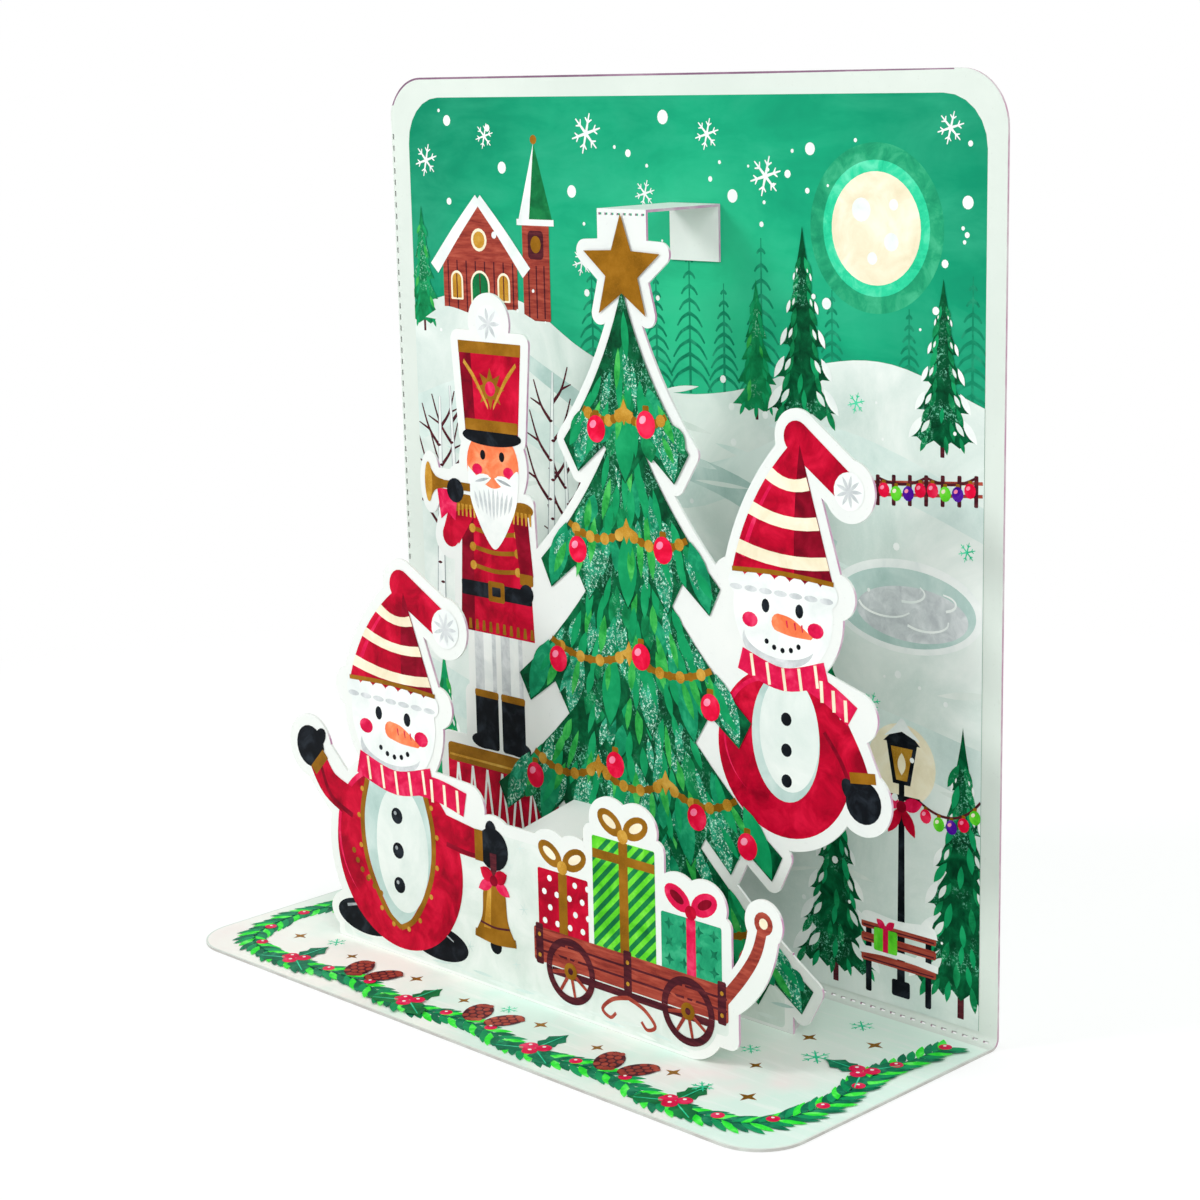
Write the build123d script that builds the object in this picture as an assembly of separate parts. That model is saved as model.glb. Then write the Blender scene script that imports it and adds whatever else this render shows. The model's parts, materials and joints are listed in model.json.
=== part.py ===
from build123d import *
from math import atan2, cos, degrees, radians, sin
import os

# Standing pop-up card: a folded shell, two die-cut picture layers and the band between them.
# Millimetres, +Z up. The card faces -Y. The origin is the centre of its footprint, on the table.

os.makedirs("parts", exist_ok=True)

# Card stock
stock = 0.4  # thickness of every sheet
die_margin = 1.7  # white border left round each printed figure

# Shell: base, back panel and the cover folded behind it, all one sheet
card_width = 127.0
back_height = 139.0
base_depth = 51.0
corner_radius = 8.0
hinge_radius = 1.2  # inside radius of the soft fold between base and back
cover_gap = 0.6  # air between the back panel and the cover behind it
hinge_relief = 0.6  # the left-hand fold starts this far above the soft fold
cover_lift = 0.3  # the cover stops just above the table
cover_setback = 1.4  # the cover's free edge stops this short of the back panel's

# Perforated folds
dash_length = 0.9
dash_width = 0.35
dash_pitch = 1.9
dash_inset = 0.85  # from the folded left edge to its dashes
strap_dash_pitch = 1.25

# Where the layers stand, measured forward from the back panel to each front face
tree_distance = 16.0
front_distance = 32.6

# Foot tabs glued to the base, folded backward
tab_depth = 6.0
tab_taper = 3.0

# Strap from the top of the tree layer to the back panel
strap_width = 10.0
strap_drop = 19.2  # from the top edge of the back panel down to the strap
flap_height = 8.6

# Tree
tree_x = 6.5
tier_count = 5
low_tip_z = 8.0
tree_top_drop = 2.6  # from the star's centre down to the top of the fir
low_half_width = 36.0
tier_step = 5.75  # each tier is this much narrower a side than the one below
low_tier_rise = 34.0
tier_rise_step = 2.6
side_hollow = 0.05  # sagitta of a tier's concave side, as a share of its length
bough_width = 8.0  # about the width of one pointed bough along a hem
bough_drop = 3.6  # how far a bough hangs below the tier's tips
bough_splay = 2.0  # how far the outermost boughs point outward
hem_sag = 2.0  # how much lower the middle boughs hang
star_radius = 8.2
star_waist = 0.42  # inner radius of the star over its outer one
star_tip_gap = 0.6  # card left between the star's tip and the strap's fold

# Toy soldier on a drum, left of the tree
soldier_x = -23.0
drum_width = 26.0
drum_low_z = 12.0
drum_high_z = 32.0
soldier_boot_width = 13.0
soldier_leg_width = 11.0
soldier_coat_low_z = 52.0
soldier_coat_width = 17.0
soldier_shoulder_width = 15.0
soldier_shoulder_z = 73.5
soldier_head_radius = 6.2
soldier_head_z = 79.0
shako_low_z = 83.5
shako_high_z = 98.5
shako_low_width = 12.0
shako_high_width = 14.5
plume_radius = 3.0
sleeve_width = 4.0
elbow_drop = 5.0  # from the shoulder to the bent elbow
elbow_reach = 3.0
trumpet_length = 15.0
trumpet_tube = 1.6
trumpet_mouth_radius = 3.4
trumpet_z = 75.0

# What both snowmen wear
brim_height = 3.4
scarf_width = 4.2
arm_width = 5.5

# Snowman peeping out right of the tree
peeper_x = 37.0
peeper_body_z = 43.0
peeper_body_radius = 12.8
peeper_head_z = 64.0
peeper_head_radius = 9.4
peeper_cap_rise = 28.0  # from the head's centre to the top of the cap
peeper_pompom_radius = 2.8

# White foot below the tree layer's picture
foot_left_x = -36.0
foot_right_x = 38.5
foot_height = 13.0

# Snowman at the front left
greeter_x = -30.0
greeter_body_z = 17.0
greeter_body_radius = 15.5
greeter_head_z = 40.0
greeter_head_radius = 10.2
greeter_cap_rise = 25.0
greeter_pompom_radius = 3.2
boot_spread = 9.0
boot_length = 14.0
boot_height = 5.6
mitten_radius = 3.7

# Hand bell that the front snowman holds
bell_x = -7.5
bell_z = 12.5
bell_width = 9.5
bell_height = 11.0

# Wagon of presents at the front right
wagon_left_x = 1.0
wagon_right_x = 41.0
wagon_bed_z = 10.5
wagon_bed_height = 2.6
wheel_radius = 5.4
wheel_inset = 8.0
handle_reach = 6.5
handle_rise = 11.0
handle_width = 2.2
box_widths = (11.0, 13.0, 12.0)
box_heights = (9.5, 17.0, 8.5)
box_gap = 0.8
bow_radius = 2.6
ground_left_x = -46.0
ground_height = 4.0
snow_bank_z = 26.0  # top of the plain white between the snowman and the presents

# Band that holds the front layer off the tree layer
band_x = -0.7
band_width = 11.3
band_height = 14.0
band_back_top_z = 27.6
band_fall = 3.0  # how much lower the band sits at the front layer
band_lap = 8.0  # glued overlap of the strip's ends, inside the back wall

# Derived places
shell_depth = base_depth + 2 * stock + cover_gap
back_y = shell_depth / 2 - 2 * stock - cover_gap  # front face of the back panel
front_edge_y = -shell_depth / 2
tree_y = back_y - tree_distance  # front face of the tree layer
scene_y = back_y - front_distance  # front face of the front layer
strap_z = back_height - strap_drop  # top face of the strap
star_z = strap_z - star_radius - star_tip_gap
floor_z = stock  # top face of the base
top_tier_rise = low_tier_rise - tier_rise_step * (tier_count - 1)
tier_pitch = (star_z - tree_top_drop - top_tier_rise - low_tip_z) / (tier_count - 1)


def disc(x, z, radius):
    """A round patch of the picture, grown by the border."""
    return Pos(x, z) * Circle(radius + die_margin)


def oval(x, z, width, height):
    """An oval patch, grown by the border."""
    return Pos(x, z) * Ellipse(width / 2 + die_margin, height / 2 + die_margin)


def slab(x_low, z_low, x_high, z_high):
    """A box-shaped patch, grown by the border, with rounded corners."""
    width = x_high - x_low + 2 * die_margin
    height = z_high - z_low + 2 * die_margin
    return Pos((x_low + x_high) / 2, (z_low + z_high) / 2) * RectangleRounded(width, height, die_margin)


def grown(*edges):
    """The face inside a closed outline, grown by the border with rounded corners."""
    return offset(make_face(Curve() + list(edges)), die_margin, kind=Kind.ARC)


def tapered(x, z_low, z_high, low_width, high_width):
    """A patch with straight sides that widens or narrows upward, grown by the border."""
    corners = [
        (x - low_width / 2, z_low),
        (x + low_width / 2, z_low),
        (x + high_width / 2, z_high),
        (x - high_width / 2, z_high),
    ]
    return grown(Polyline(*corners, close=True))


def limb(start, end, width):
    """A straight arm or bar with round ends, grown by the border."""
    run = Vector(*end) - Vector(*start)
    middle = (Vector(*start) + Vector(*end)) * 0.5
    bar = SlotCenterToCenter(run.length, width + 2 * die_margin)
    return Pos(middle.X, middle.Y) * Rot(0, 0, degrees(atan2(run.Y, run.X))) * bar


def tree_tier(number):
    """One tier of the fir, counted from the lowest: hollow sides and a hem of hanging boughs."""
    half_width = low_half_width - tier_step * number
    tip_z = low_tip_z + tier_pitch * number
    apex = (tree_x, tip_z + low_tier_rise - tier_rise_step * number)
    left = (tree_x - half_width, tip_z)
    right = (tree_x + half_width, tip_z)
    hollow = side_hollow * (Vector(*right) - Vector(*apex)).length
    tier = grown(SagittaArc(apex, right, -hollow), Line(right, left), SagittaArc(left, apex, -hollow))
    boughs = round(2 * half_width / bough_width)
    for bough in range(boughs):
        outer = half_width * (1 - 2 * bough / boughs)
        inner = half_width * (1 - 2 * (bough + 1) / boughs)
        middle = (outer + inner) / 2
        drop = bough_drop + hem_sag * (1 - (middle / half_width) ** 2)
        hanging = (tree_x + middle + bough_splay * middle / half_width, tip_z - drop)
        tier += grown(Polyline((tree_x + outer, tip_z), (tree_x + inner, tip_z), hanging, close=True))
    return tier


def star():
    """The five-pointed star on top of the fir."""
    corners = []
    for step in range(10):
        reach = star_radius if step % 2 == 0 else star_radius * star_waist
        turn = radians(90 + 36 * step)
        corners.append((tree_x + reach * cos(turn), star_z + reach * sin(turn)))
    return grown(Polyline(*corners, close=True))


def stocking_cap(x, head_z, head_radius, rise, pompom_radius):
    """A long cap on a snowman's head that tips over to the right, with its pompom."""
    brim = head_radius * 1.05
    brim_z = head_z + head_radius * 0.35
    peak = (x + head_radius * 0.3, head_z + rise - head_radius * 0.3)
    tip = (x + head_radius * 1.3, head_z + rise * 0.66)
    left = (x - brim, brim_z)
    right = (x + brim, brim_z)
    cone = grown(SagittaArc(left, peak, head_radius * 0.22), Line(peak, right), Line(right, left))
    drooping = limb(peak, tip, head_radius * 0.5) + disc(*tip, pompom_radius)
    return cone + drooping + limb(left, right, brim_height)


def scarf_end(x, neck_z, reach, drop):
    """The loose end of a scarf, blown out from the neck."""
    return limb((x, neck_z), (x + reach, neck_z - drop), scarf_width)


def soldier():
    """The toy soldier with his trumpet, standing on a drum."""
    half_boots = soldier_boot_width / 2
    half_legs = soldier_leg_width / 2
    boot_top_z = soldier_coat_low_z - soldier_leg_width
    shape = slab(soldier_x - drum_width / 2, drum_low_z, soldier_x + drum_width / 2, drum_high_z)
    shape += slab(soldier_x - half_boots, drum_high_z, soldier_x + half_boots, boot_top_z)
    shape += slab(soldier_x - half_legs, drum_high_z, soldier_x + half_legs, soldier_coat_low_z)
    shape += tapered(
        soldier_x, soldier_coat_low_z, soldier_shoulder_z, soldier_coat_width, soldier_shoulder_width
    )
    shape += disc(soldier_x, soldier_head_z, soldier_head_radius)
    shape += tapered(soldier_x, shako_low_z, shako_high_z, shako_low_width, shako_high_width)
    shape += disc(soldier_x, shako_high_z + plume_radius, plume_radius)
    mouth_x = soldier_x - trumpet_length
    shape += limb((soldier_x, trumpet_z), (mouth_x, trumpet_z), trumpet_tube)
    shape += oval(mouth_x, trumpet_z, trumpet_tube, 2 * trumpet_mouth_radius)
    shoulder = (soldier_x - soldier_shoulder_width / 2, soldier_shoulder_z - sleeve_width / 2)
    elbow = (shoulder[0] - elbow_reach, shoulder[1] - elbow_drop)
    shape += limb(shoulder, elbow, sleeve_width)
    shape += limb(elbow, (shoulder[0], trumpet_z), sleeve_width)
    return shape


def peeper():
    """The snowman whose lower side is behind the tree."""
    shape = disc(peeper_x, peeper_body_z, peeper_body_radius)
    shape += disc(peeper_x, peeper_head_z, peeper_head_radius)
    shape += stocking_cap(peeper_x, peeper_head_z, peeper_head_radius, peeper_cap_rise, peeper_pompom_radius)
    shoulder = (peeper_x + peeper_body_radius * 0.75, peeper_body_z + peeper_body_radius * 0.45)
    hand = (peeper_x + peeper_body_radius * 1.15, peeper_body_z - peeper_body_radius * 0.35)
    shape += limb(shoulder, hand, arm_width) + disc(*hand, mitten_radius * 0.9)
    neck_z = peeper_head_z - peeper_head_radius
    return shape + scarf_end(peeper_x, neck_z, peeper_body_radius * 1.05, 4.0)


def greeter():
    """The front snowman with his boots, his waving arm and the arm that holds the bell."""
    shape = disc(greeter_x, greeter_body_z, greeter_body_radius)
    shape += disc(greeter_x, greeter_head_z, greeter_head_radius)
    shape += stocking_cap(
        greeter_x, greeter_head_z, greeter_head_radius, greeter_cap_rise, greeter_pompom_radius
    )
    shoulder_z = greeter_body_z + greeter_body_radius * 0.4
    waving = (greeter_x - greeter_body_radius * 1.38, greeter_body_z + greeter_body_radius * 0.95)
    shape += limb((greeter_x - greeter_body_radius * 0.8, shoulder_z), waving, arm_width)
    shape += disc(*waving, mitten_radius)
    shape += limb((greeter_x + greeter_body_radius * 0.8, shoulder_z), (bell_x, shoulder_z), arm_width)
    shape += disc(bell_x, shoulder_z, mitten_radius)
    for side in (-1, 1):
        shape += oval(
            greeter_x + side * boot_spread, floor_z + boot_height / 2 + die_margin, boot_length, boot_height
        )
    neck_z = greeter_head_z - greeter_head_radius
    return shape + scarf_end(greeter_x, neck_z, greeter_body_radius * 1.1, 1.0)


def wagon():
    """The two-wheeled wagon side with its pull handle and three presents with bows."""
    bed_top = wagon_bed_z + wagon_bed_height
    shape = slab(wagon_left_x, wheel_radius, wagon_right_x, bed_top)
    for wheel_x in (wagon_left_x + wheel_inset, wagon_right_x - wheel_inset):
        shape += disc(wheel_x, floor_z + wheel_radius + die_margin, wheel_radius)
    grip = (wagon_right_x + handle_reach, bed_top + handle_rise)
    shaft = SagittaArc((wagon_right_x - 2.0, wagon_bed_z), grip, handle_rise * -0.2)
    shape += trace(shaft, handle_width + 2 * die_margin) + disc(*grip, handle_width * 0.8)
    left = wagon_left_x + (wagon_right_x - wagon_left_x - sum(box_widths) - 2 * box_gap) / 2
    for width, height in zip(box_widths, box_heights):
        shape += slab(left, bed_top, left + width, bed_top + height)
        knot_x = left + width / 2
        for side in (-1, 1):
            shape += oval(
                knot_x + side * bow_radius, bed_top + height + bow_radius, 2 * bow_radius, 1.6 * bow_radius
            )
        left += width + box_gap
    return shape


def glue_tab(x_low, x_high, sheet_y):
    """A tapered tab that runs backward along the base from a layer's foot."""
    corners = [
        (x_low, sheet_y),
        (x_high, sheet_y),
        (x_high - tab_taper, sheet_y + tab_depth),
        (x_low + tab_taper, sheet_y + tab_depth),
    ]
    return Pos(0, 0, floor_z) * extrude(make_face(Polyline(*corners, close=True)), stock)


def without_windows(sketch):
    """The sketch with the slivers between neighbouring figures left as card."""
    return Sketch() + [Face(face.outer_wire()) for face in sketch.faces()]


def upright(sketch, front_y):
    """A sheet standing in the picture plane, its front face at front_y, trimmed at the base."""
    sheet = extrude(Plane.XZ.offset(-front_y - stock) * sketch, stock)
    size = sheet.bounding_box().size
    below = Box(size.X * 3, stock * 4, size.Z, align=(Align.CENTER, Align.CENTER, Align.MAX))
    return sheet - Pos(0, front_y + stock / 2, floor_z) * below


def dashes(count, pitch):
    """Offsets of a centred row of perforation dashes."""
    return [pitch * (number - (count - 1) / 2) for number in range(count)]


def panel(right_x, z_low, thickness):
    """A panel from the folded left edge to right_x, its two upper corners rounded, standing at y = 0."""
    width = right_x + card_width / 2
    height = back_height - z_low
    sketch = Pos(right_x - width / 2, z_low + height / 2) * Rectangle(width, height)
    upper = sketch.vertices().group_by(Axis.Y)[-1]
    return extrude(Plane.XZ * fillet(upper, corner_radius), -thickness)


def make_card_shell():
    """Base, back panel and rear cover: one sheet with a soft hinge and a tight left-hand fold."""
    bend_outer = hinge_radius + stock
    bend_centre = (back_y - hinge_radius, bend_outer)
    back = Pos(0, back_y, 0) * panel(card_width / 2, bend_outer, stock)
    cover = Pos(0, back_y + stock + cover_gap, 0) * panel(card_width / 2 - cover_setback, cover_lift, stock)

    base_run = base_depth - bend_outer + stock
    base_sketch = Pos(0, front_edge_y + base_run / 2) * Rectangle(card_width, base_run)
    front_corners = base_sketch.vertices().group_by(Axis.Y)[0]
    base = extrude(fillet(front_corners, corner_radius), stock)

    ring = Circle(bend_outer) - Circle(hinge_radius)
    quarter = ring & (Pos(bend_outer, -bend_outer) * Rectangle(2 * bend_outer, 2 * bend_outer))
    hinge = Plane.YZ.offset(-card_width / 2) * (Pos(*bend_centre) * quarter)
    shell = base + back + extrude(hinge, card_width)

    fold_outer = stock + cover_gap / 2
    fold_ring = Circle(fold_outer) - Circle(cover_gap / 2)
    half = fold_ring & (Pos(-fold_outer, 0) * Rectangle(2 * fold_outer, 2 * fold_outer))
    fold_low = bend_outer + hinge_relief
    fold_height = back_height - fold_low
    fold_centre = (-card_width / 2 + fold_outer, back_y + fold_outer)
    left_fold = Pos(*fold_centre, fold_low) * extrude(half, fold_height)
    # The rounded corner runs on over the fold, as it was cut through both panels
    left_fold &= Pos(0, back_y, 0) * panel(card_width / 2, fold_low, 2 * fold_outer)
    # The two panels stop at the fold's centre line
    trim = Pos(-card_width / 2, back_y + fold_outer, fold_low) * Box(
        2 * fold_outer, 4 * fold_outer, fold_height, align=(Align.CENTER, Align.CENTER, Align.MIN)
    )
    shell = (shell + cover) - trim + left_fold

    cutter = Box(dash_length, dash_width, 4 * stock)
    crease = Vector(0, bend_centre[0], bend_centre[1])
    crease += Vector(0, sin(radians(45)), -sin(radians(45))) * (hinge_radius + stock / 2)
    hinge_dashes = [
        Pos(x, crease.Y, crease.Z) * Rot(45, 0, 0) * cutter
        for x in dashes(int(card_width / dash_pitch), dash_pitch)
    ]
    side_x = -card_width / 2 + dash_inset
    dashed_height = fold_height - corner_radius
    side_middle = fold_low + dashed_height / 2
    side_cutter = Box(dash_width, 2 * stock, dash_length)
    side_dashes = [
        Pos(side_x, back_y + stock / 2, side_middle + z) * side_cutter
        for z in dashes(int(dashed_height / dash_pitch), dash_pitch)
    ]
    return shell - hinge_dashes - side_dashes


def make_tree_layer():
    """Tree, soldier and peeping snowman in one die-cut sheet, with its strap, flap and foot tab."""
    sketch = star() + soldier() + peeper()
    for number in range(tier_count):
        sketch += tree_tier(number)
    foot_middle = (foot_left_x + foot_right_x) / 2
    sketch += Pos(foot_middle, foot_height / 2) * Rectangle(foot_right_x - foot_left_x, foot_height)
    sketch += Pos(tree_x, (strap_z + star_z) / 2) * Rectangle(strap_width, strap_z - star_z)
    sheet = upright(without_windows(sketch), tree_y)
    # The star's own border is cut off level with the strap
    sheet -= Pos(tree_x, tree_y, strap_z) * Box(
        4 * star_radius, 4 * stock, 4 * die_margin, align=(Align.CENTER, Align.CENTER, Align.MIN)
    )
    strap_run = tree_distance
    strap = Pos(tree_x, tree_y + strap_run / 2, strap_z - stock / 2) * Box(strap_width, strap_run, stock)
    flap = Pos(tree_x, back_y - stock / 2, strap_z - flap_height / 2) * Box(strap_width, stock, flap_height)
    layer = sheet + strap + flap + glue_tab(foot_left_x, foot_right_x, tree_y)
    cutter = Box(dash_length * 0.7, 4 * stock, dash_width)
    for x in dashes(int(strap_width / strap_dash_pitch), strap_dash_pitch):
        layer -= Pos(tree_x + x, tree_y, strap_z - stock - dash_width) * cutter
    return layer


def make_front_layer():
    """Front snowman, bell and wagon in one die-cut sheet with its foot tab."""
    sketch = greeter() + wagon()
    sketch += oval(bell_x, bell_z, bell_width, bell_height)
    sketch += slab(greeter_x, floor_z, wagon_left_x + 2 * die_margin, snow_bank_z)
    ground_right_x = wagon_right_x - wheel_inset
    sketch += Pos((ground_left_x + ground_right_x) / 2, ground_height / 2) * Rectangle(
        ground_right_x - ground_left_x, ground_height
    )
    return upright(without_windows(sketch), scene_y) + glue_tab(ground_left_x, ground_right_x, scene_y)


def make_spacer_band():
    """A strip folded into a four-sided band, glued to the back of one layer and the front of the other."""
    rear_y = tree_y
    fore_y = scene_y + stock
    outer = Polyline(
        (rear_y, band_back_top_z),
        (rear_y, band_back_top_z - band_height),
        (fore_y, band_back_top_z - band_height - band_fall),
        (fore_y, band_back_top_z - band_fall),
        close=True,
    )
    inner = Polyline(
        (rear_y - stock, band_back_top_z - stock),
        (rear_y - stock, band_back_top_z - band_height + stock),
        (fore_y + stock, band_back_top_z - band_height - band_fall + stock),
        (fore_y + stock, band_back_top_z - band_fall - stock),
        close=True,
    )
    lap = Pos(rear_y - 1.5 * stock, band_back_top_z - band_height + stock + band_lap / 2) * Rectangle(
        stock, band_lap
    )
    section = make_face(outer) - make_face(inner) + lap
    return extrude(Plane.YZ.offset(band_x - band_width / 2) * section, band_width)


for name, make in {
    "card_shell": make_card_shell,
    "tree_layer": make_tree_layer,
    "front_layer": make_front_layer,
    "spacer_band": make_spacer_band,
}.items():
    export_step(make(), f"parts/{name}.step")
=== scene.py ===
import bpy
import bmesh
import copy
import json
import math
import numpy as np
import random
from mathutils import Matrix, Vector

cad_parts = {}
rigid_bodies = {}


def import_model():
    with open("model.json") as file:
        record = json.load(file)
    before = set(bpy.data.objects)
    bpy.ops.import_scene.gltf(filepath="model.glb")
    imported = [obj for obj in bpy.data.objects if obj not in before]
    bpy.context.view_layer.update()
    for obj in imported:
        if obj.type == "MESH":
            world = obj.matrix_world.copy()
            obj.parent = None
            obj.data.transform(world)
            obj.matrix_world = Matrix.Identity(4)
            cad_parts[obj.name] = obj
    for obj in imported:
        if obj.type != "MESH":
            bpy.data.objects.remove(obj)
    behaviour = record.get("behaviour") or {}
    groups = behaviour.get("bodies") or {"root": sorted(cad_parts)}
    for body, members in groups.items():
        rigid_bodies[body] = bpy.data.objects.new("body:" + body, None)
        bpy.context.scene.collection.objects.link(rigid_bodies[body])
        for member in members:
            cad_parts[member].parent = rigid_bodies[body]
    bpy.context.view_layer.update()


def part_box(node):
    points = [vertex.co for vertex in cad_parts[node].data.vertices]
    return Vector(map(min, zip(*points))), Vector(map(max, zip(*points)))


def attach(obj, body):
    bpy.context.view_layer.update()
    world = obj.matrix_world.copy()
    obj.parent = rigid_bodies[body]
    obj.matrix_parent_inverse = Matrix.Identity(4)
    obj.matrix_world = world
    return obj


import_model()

MM = 0.001
BOTH = (-1, 1)
rng = random.Random(7)


def box_side(node, end, axis):
    """Where a node's box ends, in millimetres: end 0 is low and 1 high, axis 0 to 2 is x to z."""
    return round(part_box(node)[end][axis] / MM, 3)


# The card, and its faces that carry print, in millimetres
half_width, half_depth, card_top = (box_side("card_shell", 1, axis) for axis in range(3))
corner_r = 8.0
back_y = box_side("tree_layer", 1, 1)  # the strap's flap is glued there
tree_y = box_side("tree_layer", 0, 1)
front_y = box_side("front_layer", 0, 1)
base_z = box_side("tree_layer", 0, 2)  # the foot tabs are glued there
first_lift = 0.006  # the lowest paint above the card
paint_step = 0.005  # each painted shape lies this far above those it covers
tiny = 1e-4  # points nearer than this are one, and fields smaller than this are left out


# Materials

def linear(rgb):
    """0 to 255 display colour to scene linear."""
    parts = [c / 255 for c in rgb]
    return (*(c / 12.92 if c <= 0.04045 else ((c + 0.055) / 1.055) ** 2.4 for c in parts), 1.0)


class Nodes:
    """A short way to write a material's nodes. A colour is three display values."""

    def __init__(self, name):
        self.material = bpy.data.materials.new(name)
        self.material.use_nodes = True
        self.tree = self.material.node_tree
        self.tree.nodes.clear()
        self.out = self.add("ShaderNodeOutputMaterial")
        self.coords = self.add("ShaderNodeTexCoord").outputs["Object"]

    def add(self, kind, **values):
        node = self.tree.nodes.new(kind)
        for key, value in values.items():
            setattr(node, key, value)
        return node

    def put(self, socket, value):
        """Feeds a socket from another one, or sets a number or a colour on it."""
        if isinstance(value, bpy.types.NodeSocket):
            self.tree.links.new(value, socket)
        else:
            socket.default_value = linear(value) if isinstance(value, tuple) else value

    def stretched(self, scale):
        node = self.add("ShaderNodeMapping")
        node.inputs["Scale"].default_value = scale
        self.put(node.inputs["Vector"], self.coords)
        return node.outputs["Vector"]

    def noise(self, scale, detail=3.0, rough=0.55, vector=None, distortion=0.0):
        node = self.add("ShaderNodeTexNoise")
        settings = {"Scale": scale, "Detail": detail, "Roughness": rough, "Distortion": distortion}
        for key, value in settings.items():
            node.inputs[key].default_value = value
        self.put(node.inputs["Vector"], vector or self.coords)
        return node.outputs["Fac"]

    def ramp(self, fac, *stops):
        node = self.add("ShaderNodeValToRGB")
        elements = node.color_ramp.elements
        while len(elements) < len(stops):
            elements.new(1.0)
        for element, (at, colour) in zip(elements, stops):
            element.position = at
            element.color = linear(colour)
        self.put(node.inputs["Fac"], fac)
        return node.outputs["Color"]

    def mix(self, fac, a, b):
        node = self.add("ShaderNodeMix", data_type="RGBA")
        for index, value in ((0, fac), (6, a), (7, b)):
            self.put(node.inputs[index], value)
        return node.outputs[2]

    def math(self, operation, *values):
        node = self.add("ShaderNodeMath", operation=operation)
        for socket, value in zip(node.inputs, values):
            self.put(socket, value)
        return node.outputs[0]

    def times(self, a, b):
        return self.math("MULTIPLY", a, b)

    def parts(self, vector):
        """The x, y and z of a vector."""
        node = self.add("ShaderNodeSeparateXYZ")
        self.put(node.inputs[0], vector)
        return node.outputs

    def spread(self, fac, low, high, to_low=0.0, to_high=1.0):
        node = self.add("ShaderNodeMapRange", clamp=True)
        for key, value in (("From Min", low), ("From Max", high), ("To Min", to_low), ("To Max", to_high)):
            node.inputs[key].default_value = value
        self.put(node.inputs["Value"], fac)
        return node.outputs["Result"]

    def fibre(self):
        """Fine card fibre, as a height from 0 to 1."""
        long_way = self.noise(1.0, 2.0, 0.6, self.stretched((900, 900, 3800)))
        cross = self.noise(1.0, 2.0, 0.6, self.stretched((4200, 4200, 1100)))
        return self.math("ADD", self.times(long_way, 0.5), self.times(cross, 0.5))

    def finish(self, colour, roughness, bump_strength=0.2, bump_distance=0.00003, metallic=0.0, sheen=0.05):
        bump = self.add("ShaderNodeBump")
        bump.inputs["Strength"].default_value = bump_strength
        bump.inputs["Distance"].default_value = bump_distance
        self.put(bump.inputs["Height"], self.fibre())
        shader = self.add("ShaderNodeBsdfPrincipled")
        for key, value in (
            ("Base Color", colour), ("Roughness", roughness), ("Metallic", metallic),
            ("Specular IOR Level", sheen), ("Normal", bump.outputs["Normal"]),
        ):
            self.put(shader.inputs[key], value)
        self.put(self.out.inputs["Surface"], shader.outputs["BSDF"])
        return self.material


def card(name, tone, shade, edge):
    """Coated white card: a faint mottle, fine fibre, a tinted line where a sheet was cut, and painted shade
    on the walls of the slots along the left-hand fold.
    """
    # Just above the base's face, just in front of the back panel, and round the left-hand fold
    over_base, panel_y = (base_z + 0.05) * MM, (back_y - 0.4) * MM
    fold_face_x, slot_x = (0.69 - half_width) * MM, (half_width - 0.85) * MM
    slot_half, slot_top = 0.2 * MM, (card_top - 8.5) * MM
    n = Nodes("card_" + name)
    mottle = n.noise(45, 4.0, 0.6)
    colour = n.ramp(mottle, (0.3, shade), (0.7, tone))
    specks = n.noise(1500, 2.0, 0.7)
    colour = n.mix(n.spread(specks, 0.66, 0.74, 0.0, 0.10), colour, (150, 150, 145))
    x, y, z = n.parts(n.coords)
    _, facing_y, facing_z = n.parts(n.add("ShaderNodeNewGeometry").outputs["Normal"])
    facing_y, facing_z = n.math("ABSOLUTE", facing_y), n.math("ABSOLUTE", facing_z)
    upright = n.math("GREATER_THAN", z, over_base)
    standing_panel = n.times(upright, n.math("GREATER_THAN", n.math("ABSOLUTE", y), panel_y))
    lying = n.math("SUBTRACT", 1.0, standing_panel)
    flat = n.math("MAXIMUM", n.times(upright, facing_y), n.times(lying, facing_z))
    rim = n.times(n.spread(flat, 0.35, 0.6, 1.0, 0.0), n.spread(n.noise(260, 3.0), 0.3, 0.6, 0.45, 0.95))
    # The outside of the left-hand fold is face, not cut edge
    face = n.times(n.math("LESS_THAN", x, fold_face_x), n.math("LESS_THAN", facing_z, 0.3))
    rim = n.times(rim, n.math("SUBTRACT", 1.0, face))
    colour = n.mix(rim, colour, n.mix(upright, (186, 182, 178), edge))
    # The walls of the slots along that fold are painted a darker grey, as painted shade inside the slots
    slot_wall_shade = n.math("LESS_THAN", n.math("ABSOLUTE", n.math("ADD", x, slot_x)), slot_half)
    slot_wall_shade = n.times(slot_wall_shade, n.math("LESS_THAN", z, slot_top))
    colour = n.mix(n.times(rim, slot_wall_shade), colour, (136, 132, 128))
    return n.finish(colour, n.spread(mottle, 0.3, 0.7, 0.42, 0.55), 0.22, 0.00004, sheen=0.15)


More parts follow.
